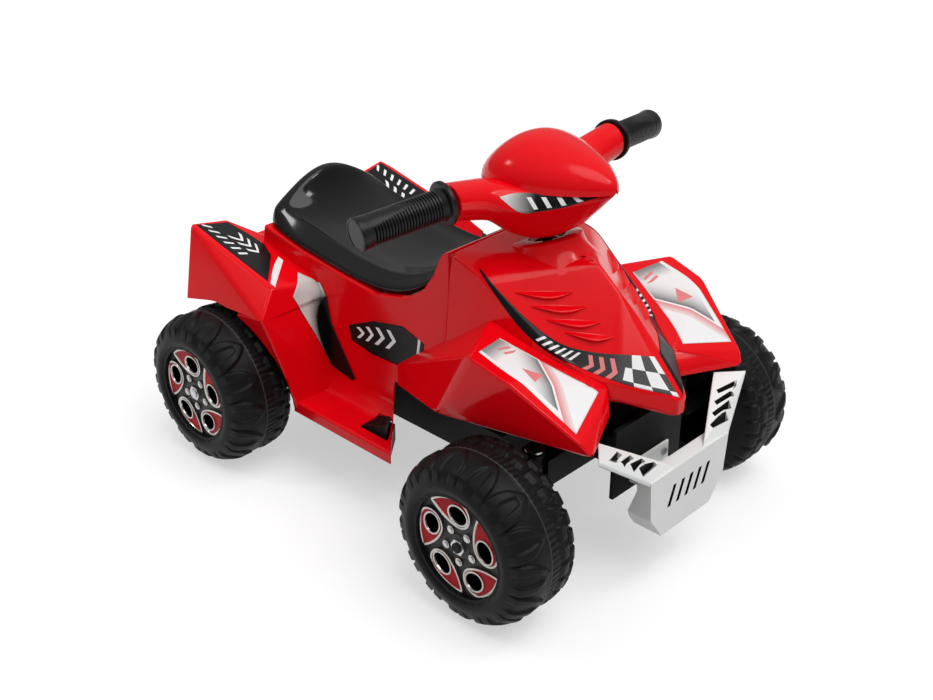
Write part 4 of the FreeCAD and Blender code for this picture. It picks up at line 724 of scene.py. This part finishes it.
# Hood louvres: crescent steps that rise from the panel and drop at their lower edge
louvres = {
    "rise": 4.8, "drop": 1.0, "seat": 0.1, "depth": 13.0, "slope": (0.80, 0.0, -0.60),
    "upperBow": 0.15, "lowerBow": 0.9, "endWidth": 0.12, "columns": 36, "rows": 24,
    "lines": [((150, -83, 317), (198, -40, 319)), ((169, -78, 305), (215, -35, 305)),
              ((187, -72, 292), (231, -30, 289)), ((206, -64, 280), (246, -26, 273))],
}


def louvreLift(along, across):
    ends = math.sin(math.pi * along) ** 0.5
    rise = (louvres["rise"] + louvres["seat"]) * ends * softStep(across, 0.0, 0.86)
    rise *= 1 - softStep(across, 0.90, 1.0)
    return rise - (louvres["drop"] * softStep(across, 0.96, 1.0) + louvres["seat"] * (1 - ends))


for index, (start, end) in enumerate(louvres["lines"]):
    down = Vector(louvres["slope"]) * louvres["depth"]
    middle = (Vector(start) + Vector(end)) / 2
    tip = down * louvres["endWidth"]
    upper = [start, middle - down * louvres["upperBow"], end]
    lower = [Vector(start) + tip, middle + down * louvres["lowerBow"], Vector(end) + tip]
    for sideName, side in sides:
        laidPatch("louvre%d%s" % (index, sideName), "cowlShell", upper, lower, "redPlastic", side,
                  lift=louvreLift, columns=louvres["columns"], rows=louvres["rows"], foil=False)
print("louvres:", 2 * len(louvres["lines"]))


# Seat: sections across the hollow saddle, from the backrest to the tank
# A station holds its x, half width, half width and height of the lip, rise of the middle and its spread
saddle = {
    "stations": [(-273, 82, 68, 24, 18, 0.70), (-267, 90, 78, 27, 37, 0.70), (-254, 94, 78, 28, 34, 0.72),
                 (-238, 96, 76, 27, 2, 0.75), (-205, 97, 76, 24, -12, 0.8), (-124, 97, 76, 23, -13, 0.8),
                 (-57, 96, 75, 22, -13, 0.8), (-9, 90, 70, 22, -11, 0.8), (21, 80, 62, 20, -7, 0.8),
                 (39, 66, 50, 12, -3, 0.8), (48, 54, 42, 7, 0.5, 0.8)],
    "line": [(-273, 278), (-199, 264), (-124, 255), (-57, 249), (-9, 260), (21, 280), (39, 306), (51, 333)],
    "lift": 0.8, "plinth": 4.0, "lipRing": 2, "lipSpot": 4, "lipCrease": 0.75, "footCrease": 0.8,
}


def saddleLine(x):
    for (x0, z0), (x1, z1) in zip(saddle["line"], saddle["line"][1:]):
        if x <= x1:
            return z0 + (z1 - z0) * (x - x0) / (x1 - x0)
    return saddle["line"][-1][1]


def saddleSection(x, half, inner, rim, rise, share):
    base = saddleLine(x) + saddle["lift"]
    top = saddleLine(x) + rim
    foot = base + saddle["plinth"]
    dish = top + min(rise * 0.45, rise * 0.12)  # a hollow drops steeply inside the lip, a bulge starts flat
    return [(x, half - 3, base), (x, half - 0.5, foot), (x, half - 2, foot + (top - foot) * 0.25),
            (x, inner + 8, top - 6), (x, inner + 1.5, top - 0.6), (x, inner - 5, dish),
            (x, inner * 0.72, top + rise * share * 0.62), (x, inner * 0.45, top + rise * (share + 0.06)),
            (x, inner * 0.2, top + rise * 0.95), (x, 0, top + rise)]


def saddlePiece():
    sections = [saddleSection(*station) for station in saddle["stations"]]
    rings = [section + [(x, -y, z) for x, y, z in reversed(section[:-1])] for section in sections]
    rows, count = len(rings) - 1, len(rings[0])
    firstLip, lastLip = saddle["lipSpot"], count - 1 - saddle["lipSpot"]
    shape = bmesh.new()
    creases = shape.edges.layers.float.new("crease_edge")
    bmesh.ops.create_grid(shape, x_segments=rows, y_segments=count, size=0.5)
    feet = set()
    lip = set()
    for vert in shape.verts:
        ring = round((vert.co.x + 0.5) * rows)
        spot = round((vert.co.y + 0.5) * count) % count
        vert.co = Vector(rings[ring][spot]) * mm
        if spot in (0, count - 1):
            feet.add(vert)
        backLip = ring == saddle["lipRing"] and firstLip <= spot <= lastLip
        if backLip or (spot in (firstLip, lastLip) and ring >= saddle["lipRing"]):
            lip.add(vert)
    bmesh.ops.remove_doubles(shape, verts=shape.verts, dist=weld["fine"])
    ends = [edge for edge in shape.edges if edge.is_boundary]
    for edge in shape.edges:
        if edge in ends or all(vert in feet for vert in edge.verts):
            edge[creases] = saddle["footCrease"]
        elif all(vert in lip for vert in edge.verts):
            edge[creases] = saddle["lipCrease"]
    bmesh.ops.holes_fill(shape, edges=ends, sides=0)
    bmesh.ops.recalc_face_normals(shape, faces=shape.faces)
    smoothed(shape, 180)
    softened(newPiece("saddle", shape, "chassis", ["blackGloss"], ["seat"]))


saddlePiece()
print("seat done")


# Tyres: blown shape with arch lugs, a mould seam, fine ribs and tread blocks
tyre = {
    "profile": [(-40, 63), (-43.6, 66), (-44.6, 72), (-43.6, 82), (-40, 90), (-33, 95), (-20, 96.4),
                (0, 97.6), (14, 96.6), (26, 93), (36, 87), (42, 79.5), (44.6, 72), (43.6, 66), (40, 63)],
    "steps": 504, "rows": 96, "widest": 44.9, "tallest": 99.9,
    "lugs": {"count": 14, "rise": 4.0, "start": 1.5, "reach": 43.5, "halfWidth": 0.47, "coreSink": 0.7},
    "ribs": {"count": 84, "rise": 1.0, "band": (-13, -1.5)},
    "blocks": {"count": 28, "rise": 3.2, "band": (-44, -15), "groove": -29, "grooveWidth": 1.6, "fade": 38},
    "seam": {"rise": 0.7, "half": 0.9},
}
wheels = {"front_left": (225, 210, 1), "front_right": (225, -210, -1), "rear_left": (-243, 210, 1),
          "rear_right": (-243, -210, -1)}
axleHeight = 100


def lugRise(turn, axial):  # arches that widen from the seam to the rim side, each with a sunk core
    lugs = tyre["lugs"]
    out = (axial - lugs["start"]) / lugs["reach"]
    spot = abs((turn * lugs["count"]) % 1 - 0.5)
    width = lugs["halfWidth"] * (1 - (1 - min(out * 1.15, 1)) ** 2.2)
    inside = softStep(width - spot, -0.012, 0.03)
    core = softStep(width * 0.5 - 0.05 - spot, -0.015, 0.03) * softStep(out, 0.22, 0.34)
    fade = softStep(out, 0.03, 0.10) * (1 - softStep(out, 0.78, 0.98))
    return lugs["rise"] * fade * (inside - lugs["coreSink"] * core)


def blockRise(turn, axial):  # two staggered rows of blocks with a groove between them
    blocks = tyre["blocks"]
    stagger = 0.5 if axial < blocks["groove"] else 0.0
    spot = (turn * blocks["count"] + stagger) % 1
    block = softStep(spot, 0.02, 0.10) * (1 - softStep(spot, 0.76, 0.84))
    gap = 1 - math.exp(-((axial - blocks["groove"]) / blocks["grooveWidth"]) ** 2)
    return blocks["rise"] * block * gap * (1 - softStep(-axial, blocks["fade"], -blocks["band"][0]))


def treadRise(angle, axial):
    turn = angle / (2 * math.pi)
    ribs, blocks, seam = tyre["ribs"], tyre["blocks"], tyre["seam"]
    rise = 0.0
    if axial > tyre["lugs"]["start"]:
        rise += lugRise(turn, axial)
    if abs(axial) < seam["half"]:
        rise += seam["rise"]
    if ribs["band"][0] < axial < ribs["band"][1]:
        rise += ribs["rise"] if (turn * ribs["count"]) % 1 < 0.5 else 0.0
    if blocks["band"][0] < axial < blocks["band"][1]:
        rise += blockRise(turn, axial)
    return rise * mm


def tyreShape():
    count = tyre["rows"]
    profile = [(axial, radius, 0) for axial, radius in tyre["profile"]]
    curve = [between(profile, index / count) for index in range(count + 1)]
    shape = spun([(0, spot.x * mm, spot.y * mm) for spot in curve], (0, 1, 0), tyre["steps"], weld["fine"])
    mapLayer = shape.loops.layers.uv.new("UVMap")
    shape.normal_update()
    ways = {vert: vert.normal.copy() for vert in shape.verts}
    marks = {}
    for vert, way in ways.items():
        angle = math.atan2(vert.co.x, vert.co.z)
        axial = vert.co.y / mm
        marks[vert] = (angle, axial)
        vert.co += way * treadRise(angle, axial)
        reach = max(math.hypot(vert.co.x, vert.co.z), tyre["tallest"] * mm)
        vert.co.x *= tyre["tallest"] * mm / reach
        vert.co.z *= tyre["tallest"] * mm / reach
        vert.co.y = max(-tyre["widest"] * mm, min(tyre["widest"] * mm, vert.co.y))
    for face in shape.faces:
        for loop in face.loops:
            loop[mapLayer].uv = marks[loop.vert]
    smoothed(shape, 50)
    return shape


tyreLook = {"colour": solid(0.003, 0.003, 0.0032), "shade": solid(0.006, 0.006, 0.0064), "cloud": 22.0,
            "seam": solid(0.08, 0.08, 0.08), "seamHalf": 0.7, "grain": 1100.0, "depth": 0.10, "shine": 0.15}


def tyreFinish():
    material, wire, shader = newMaterial("tyrePlastic", shine=tyreLook["shine"])
    materials["tyrePlastic"] = material
    cloud = wire.noise(tyreLook["cloud"], 4.0)
    grain = wire.noise(tyreLook["grain"], 2.0)
    seam = wire.maths("ABSOLUTE", wire.patchSpot().part("Y")) < tyreLook["seamHalf"]
    colour = wire.mix(cloud, tyreLook["colour"], tyreLook["shade"])
    feed(wire, shader, Base_Color=wire.mix(seam * 0.5, colour, tyreLook["seam"]),
         Roughness=0.34 + cloud * 0.16 + grain * 0.06, Normal=wire.bump(grain, tyreLook["depth"]))


tyreFinish()
oneTyre = tyreShape()
for wheelName, (x, y, side) in wheels.items():
    shape = oneTyre.copy()
    if side < 0:
        bmesh.ops.scale(shape, vec=(1, -1, 1), verts=shape.verts)
        bmesh.ops.reverse_faces(shape, faces=shape.faces)
    bmesh.ops.translate(shape, vec=Vector((x, y, axleHeight)) * mm, verts=shape.verts)
    newPiece(wheelName + "Tyre", shape, wheelName + "_wheel", ["tyrePlastic"], [wheelName + "_tyre"])
oneTyre.free()
print("tyres done")


# Hub caps: black disc with five comma plates, each with a silver edge, a red field and a dark eye
cap = {
    "disc": [(0, 0), (14, 0), (16, -1.2), (54, -1.2), (60, 0.4), (61.8, 0.2), (62.8, -5)],
    "steps": 120, "count": 5, "back": 4.2, "fieldSlope": 0.5,
    "comma": {"head": 17.4, "headAt": 42.0, "rim": 59.4, "tipTurn": 43.0, "bend": (21, 26), "points": 72,
              "low": -1.0, "high": 2.2, "edge": 2.3, "sink": 0.9, "field": "capRed"},
    "eye": {"halfWidth": 14.8, "halfHeight": 12.4, "at": 40.5, "points": 48,
            "low": 0.8, "high": 2.7, "edge": 2.0, "sink": 1.4, "field": "capBlack"},
    "boltAt": 20.0, "boltDepth": 2.4,
    "bolt": [{"radius": 4.8, "height": 0.0, "sides": 24, "finish": "silverPaint"},
             {"radius": 3.0, "height": 1.2, "sides": 6, "finish": "zincSteel"}],
    "finishes": ["capBlack", "silverPaint", "capRed", "zincSteel"],
}


def finishIndex(name):
    return cap["finishes"].index(name)


def commaSpot(share):
    comma = cap["comma"]
    if share < 0.4:  # round head, from the rim to the inner side
        turn = math.radians(90 + 180 * share / 0.4)
        return comma["head"] * math.cos(turn), comma["headAt"] + comma["head"] * math.sin(turn)
    tip = math.radians(comma["tipTurn"])
    if share < 0.7:  # inner edge of the tail
        part = (share - 0.4) / 0.3
        start = Vector((0, comma["headAt"] - comma["head"]))
        end = Vector((math.sin(tip), math.cos(tip))) * (comma["rim"] - 1)
        spot = start * (1 - part) ** 2 + Vector(comma["bend"]) * 2 * part * (1 - part) + end * part ** 2
        return spot.x, spot.y
    turn = tip * (1 - (share - 0.7) / 0.3)  # outer edge, along the rim
    return comma["rim"] * math.sin(turn), comma["rim"] * math.cos(turn)


def eyeSpot(share):
    eye = cap["eye"]
    turn = 2 * math.pi * share
    return eye["halfWidth"] * math.cos(turn), eye["at"] + eye["halfHeight"] * math.sin(turn)


def silverRound(top):
    for edge in top.edges:
        for face in edge.link_faces:
            face.material_index = finishIndex("silverPaint")


def addPlate(shape, turn, outline, plate):
    low, high, count = plate["low"], plate["high"], plate["points"]
    cosine, sine = math.cos(turn), math.sin(turn)
    made = bmesh.ops.create_circle(shape, cap_ends=True, radius=mm, segments=count)["verts"]
    for index, vert in enumerate(made):
        x, z = outline(index / count)
        vert.co = Vector((x * cosine + z * sine, low, z * cosine - x * sine)) * mm
    face = next(iter(set.intersection(*[set(vert.link_faces) for vert in made])))
    face.normal_update()
    if face.normal.y < 0:
        face.normal_flip()
    top = bmesh.ops.extrude_discrete_faces(shape, faces=[face])["faces"][0]
    for vert in top.verts:
        vert.co.y = low * mm
    lifted = bmesh.ops.extrude_face_region(shape, geom=[top])["geom"]
    top = next(item for item in lifted if isinstance(item, bmesh.types.BMFace))
    bmesh.ops.translate(shape, vec=(0, (high - low) * mm, 0), verts=top.verts)
    silverRound(top)
    for thickness, depth in ((plate["edge"], 0.0), (cap["fieldSlope"], -plate["sink"])):
        bmesh.ops.inset_region(shape, faces=[top], thickness=thickness * mm, depth=depth * mm,
                               use_even_offset=True)
        silverRound(top)
    top.material_index = finishIndex(plate["field"])


def addBolt(shape, turn):
    centre = Vector((math.sin(turn) * cap["boltAt"], 0, math.cos(turn) * cap["boltAt"])) * mm
    upright = Matrix.Rotation(math.pi / 2, 4, "X")
    for step in cap["bolt"]:
        place = Matrix.Translation(centre + Vector((0, step["height"] * mm, 0))) @ upright
        radius = step["radius"] * mm
        parts = bmesh.ops.create_cone(shape, cap_ends=True, segments=step["sides"], radius1=radius,
                                      radius2=radius, depth=cap["boltDepth"] * mm, matrix=place)["verts"]
        for face in {face for vert in parts for face in vert.link_faces}:
            face.material_index = finishIndex(step["finish"])


def capShape():
    spots = [(0, height * mm, max(radius, 0.01) * mm) for radius, height in cap["disc"]]
    shape = spun(spots, (0, 1, 0), cap["steps"], weld["pole"])
    if sum(face.normal.y * face.calc_area() for face in shape.faces) < 0:
        bmesh.ops.reverse_faces(shape, faces=shape.faces)
    for index in range(cap["count"]):
        turn = 2 * math.pi * index / cap["count"]
        addPlate(shape, turn, commaSpot, cap["comma"])
        addPlate(shape, turn, eyeSpot, cap["eye"])
        addBolt(shape, turn + math.pi / cap["count"])
    smoothed(shape, 30)
    return shape


def capRedFinish():
    material, wire, shader = newMaterial("capRed", shine=0.1)
    materials["capRed"] = material
    cloud = wire.noise(50.0, 3.0)
    feed(wire, shader, Base_Color=wire.mix(cloud, solid(0.50, 0.008, 0.012), solid(0.36, 0.005, 0.009)),
         Roughness=0.26 + cloud * 0.12)


def capBlackFinish():
    material, wire, shader = newMaterial("capBlack", shine=0.3)
    materials["capBlack"] = material
    place = wire.make("ShaderNodeTexCoord", output="Object")
    weave = wire.make("ShaderNodeTexVoronoi", inputs={"Vector": place, "Scale": 900.0})
    cloud = wire.noise(40.0, 3.0)
    feed(wire, shader, Base_Color=wire.mix(weave, solid(0.003, 0.003, 0.003), solid(0.012, 0.011, 0.010)),
         Roughness=0.30 + cloud * 0.14, Normal=wire.bump(weave, 0.25))


capRedFinish()
capBlackFinish()
for wheelName, (x, y, side) in wheels.items():
    low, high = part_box(wheelName + "_hub_cap")
    capFace = high[1] if side > 0 else -low[1]
    shape = capShape()
    bmesh.ops.translate(shape, vec=(0, capFace - cap["back"] * mm, 0), verts=shape.verts)
    if side < 0:
        bmesh.ops.rotate(shape, cent=(0, 0, 0), matrix=Matrix.Rotation(math.pi, 3, "Z"), verts=shape.verts)
    bmesh.ops.translate(shape, vec=Vector((x, 0, axleHeight)) * mm, verts=shape.verts)
    newPiece(wheelName + "Cap", shape, wheelName + "_wheel", cap["finishes"],
             [wheelName + "_hub_cap"])
print("hub caps done")


# Grips: flange, ribs with a smooth patch on top, and an end disc
grip = {"start": (102, 137.5, 423), "end": (79, 246, 412), "radius": 17.3, "bore": 11.2, "steps": 96,
        "flange": 24.6, "flangeWidth": 7.0, "ribs": 23, "ribStart": 13.0, "ribPitch": 3.6, "ribDepth": 1.5,
        "patchTop": (0.35, 0, 0.94), "patchEdge": 1.02, "patchSpread": 0.5, "patchRise": 0.2}


def gripShape():
    length = (Vector(grip["end"]) - Vector(grip["start"])).length
    radius, flange, width, pitch = grip["radius"], grip["flange"], grip["flangeWidth"], grip["ribPitch"]
    ribEnd = grip["ribStart"] + grip["ribs"] * pitch
    profile = [(0.6, grip["bore"]), (0.6, flange - 1.5), (2, flange), (width - 1.5, flange),
               (width, flange - 1.5), (width + 0.6, radius + 1)]
    for index in range(grip["ribs"]):
        at = grip["ribStart"] + index * pitch
        low = radius - grip["ribDepth"]
        profile += [(at, low), (at + 0.5, radius), (at + pitch - 1.4, radius), (at + pitch - 0.9, low)]
    profile += [(ribEnd + 1, radius), (length - 8, radius + 0.6), (length - 2, radius + 1.2),
                (length - 0.6, radius + 0.6), (length - 0.3, radius - 1), (length - 1.0, radius - 1.6),
                (length - 1.0, 0.02)]
    spots = [(reach * mm, 0, at * mm) for at, reach in profile]
    return spun(spots, (0, 0, 1), grip["steps"], weld["pole"]), length


def smoothPatch(shape, length, top):
    for vert in shape.verts:
        at = vert.co.z / mm
        reach = math.hypot(vert.co.x, vert.co.y)
        if grip["ribStart"] - 1 < at < length - 9 and reach > 5 * mm:
            facing = (vert.co.x * top.x + vert.co.y * top.y) / reach
            edge = grip["patchEdge"] - grip["patchSpread"] * ((at - grip["ribStart"]) / length) ** 2
            share = softStep(facing, edge - 0.05, edge + 0.05)
            wanted = reach + (grip["radius"] * mm + grip["patchRise"] * mm - reach) * share
            vert.co.x *= wanted / reach
            vert.co.y *= wanted / reach


for sideName, side in (("left", 1), ("right", -1)):
    start = Vector(grip["start"]) * mm
    way = (Vector(grip["end"]) - Vector(grip["start"])).normalized()
    start.y *= side
    way.y *= side
    turn = way.to_track_quat("Z", "Y").to_matrix()
    shape, length = gripShape()
    smoothPatch(shape, length, (turn.transposed() @ Vector(grip["patchTop"])).normalized())
    bmesh.ops.transform(shape, matrix=Matrix.Translation(start) @ turn.to_4x4(), verts=shape.verts)
    smoothed(shape, 30)
    newPiece(sideName + "Grip", shape, "handlebar", ["gripRubber"], [sideName + "_grip"])
print("grips done")


def springPiece():
    shape = bmesh.new()
    shape.from_mesh(nodes["pedal_spring"].data)
    bmesh.ops.remove_doubles(shape, verts=shape.verts, dist=weld["solid"])
    smoothed(shape)
    piece = newPiece("springCoil", shape, "chassis", ["zincSteel"], ["pedal_spring"])
    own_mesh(piece)


springPiece()
print("pedal spring done")


# Finishes of the solids that stay as they are
# The steering column and its upper bush take the black finish as painted shade, so the gap under the
# handlebar reads dark
nodeFinishes = {
    "blackPlastic": ["chassis_frame", "pedal_housing", "accelerator_pedal", "gearbox_housing",
                     "gearbox_cover", "charging_socket", "pedal_switch", "battery", "battery_strap",
                     "column_upper_bush", "steering_column", "left_knuckle", "right_knuckle", "tie_rod",
                     "front_left_rim", "front_right_rim", "rear_left_rim", "rear_right_rim"],
    "gearPlastic": ["output_gear", "compound_gear", "motor_pinion", "column_lower_bush", "kingpin_bushes"],
    "leadRubber": ["switch_lead", "motor_lead", "return_lead"],
    "zincSteel": ["rear_axle", "gear_pin", "motor", "pedal_pin", "body_screws", "seat_screws",
                  "bumper_screws", "gearbox_screws", "handlebar_screws", "rear_left_axle_nut",
                  "rear_right_axle_nut", "front_left_axle_nut", "front_right_axle_nut", "cross_bolt",
                  "left_knuckle_clips", "right_knuckle_clips"],
}
for finishName, names in nodeFinishes.items():
    for name in names:
        nodes[name].data.materials.clear()
        nodes[name].data.materials.append(materials[finishName])
print("finishes on solids done")


# Floor, light and camera
studio = {"floorSize": 80.0, "floor": solid(0.50, 0.50, 0.50), "lift": 0.52, "low": 0.20, "high": 0.70,
          "highFrom": 0.9, "aim": (0, 0, 0.2),
          "sun": {"from": (0.34, 0.06, 1.0), "strength": 1.60, "angle": 45},
          "lamps": [((0.9, 0.5, 1.5), 0.2, 1.8), ((-0.9, -1.0, 1.6), 0.25, 3.5)]}  # place, size and power


def studioFloor():
    shape = bmesh.new()
    bmesh.ops.create_grid(shape, x_segments=1, y_segments=1, size=studio["floorSize"] / 2)
    mesh = bpy.data.meshes.new("floor")
    shape.to_mesh(mesh)
    shape.free()
    floor = bpy.data.objects.new("floor", mesh)
    bpy.context.scene.collection.objects.link(floor)
    material, wire, shader = newMaterial("paleFloor", roughness=0.8, shine=0.1)
    shader.inputs["Base Color"].default_value = studio["floor"]
    shader.inputs["Emission Strength"].default_value = studio["lift"]
    seen = wire.make("ShaderNodeLightPath", output="Is Camera Ray")
    glossy = wire.make("ShaderNodeLightPath", output="Is Glossy Ray")
    through = wire.make("ShaderNodeLightPath", output="Is Transmission Ray")
    shows = wire.maths("MINIMUM", seen + glossy + through, 1.0)
    feed(wire, shader, Emission_Color=wire.mix(shows, solid(0, 0, 0), solid(1, 1, 1)))
    mesh.materials.append(material)


def newLamp(name, kind, place, energy):
    data = bpy.data.lights.new(name, kind)
    data.energy = energy
    lamp = bpy.data.objects.new(name, data)
    lamp.location = place
    lamp.rotation_euler = (Vector(place) - Vector(studio["aim"])).to_track_quat("Z", "Y").to_euler()
    bpy.context.scene.collection.objects.link(lamp)
    return data


def studioLamps():
    sun = newLamp("skySun", "SUN", studio["sun"]["from"], studio["sun"]["strength"])
    sun.angle = math.radians(studio["sun"]["angle"])
    for index, (place, size, power) in enumerate(studio["lamps"]):
        newLamp("softLamp%d" % index, "AREA", place, power).size = size


def studioSky():  # grey that grows lighter from the horizon upwards
    world = bpy.data.worlds.new("studio")
    world.use_nodes = True
    bpy.context.scene.world = world
    wire = Wire(world.node_tree)
    rise = wire.make("ShaderNodeTexCoord", output=0).part("Z")  # how far up a ray looks
    level = wire.ramp(rise, 0.0, studio["highFrom"], studio["low"], studio["high"])
    background = world.node_tree.nodes["Background"]
    background.inputs["Strength"].default_value = 1.0
    colour = wire.make("ShaderNodeCombineColor", inputs={0: level, 1: level, 2: level})
    wire.tree.links.new(colour.socket, background.inputs["Color"])


view = {"azimuth": 43.9, "elevation": 28.2, "place": (0.9954, -1.0358, 0.9268), "focalPixels": 1291.0,
        "imageWidth": 933, "sensor": 36.0}


def studioCamera():
    data = bpy.data.cameras.new("photoCamera")
    data.sensor_fit = "HORIZONTAL"
    data.sensor_width = view["sensor"]
    data.lens = view["focalPixels"] / view["imageWidth"] * view["sensor"]
    camera = bpy.data.objects.new("photoCamera", data)
    turn, rise = math.radians(view["azimuth"]), math.radians(view["elevation"])
    back = Vector((math.sin(turn) * math.cos(rise), -math.cos(turn) * math.cos(rise), math.sin(rise)))
    camera.location = view["place"]
    camera.rotation_euler = back.to_track_quat("Z", "Y").to_euler()
    bpy.context.scene.collection.objects.link(camera)
    bpy.context.scene.camera = camera


studioFloor()
studioLamps()
studioSky()
studioCamera()
bpy.context.scene.view_settings.view_transform = "Standard"
print("studio done")
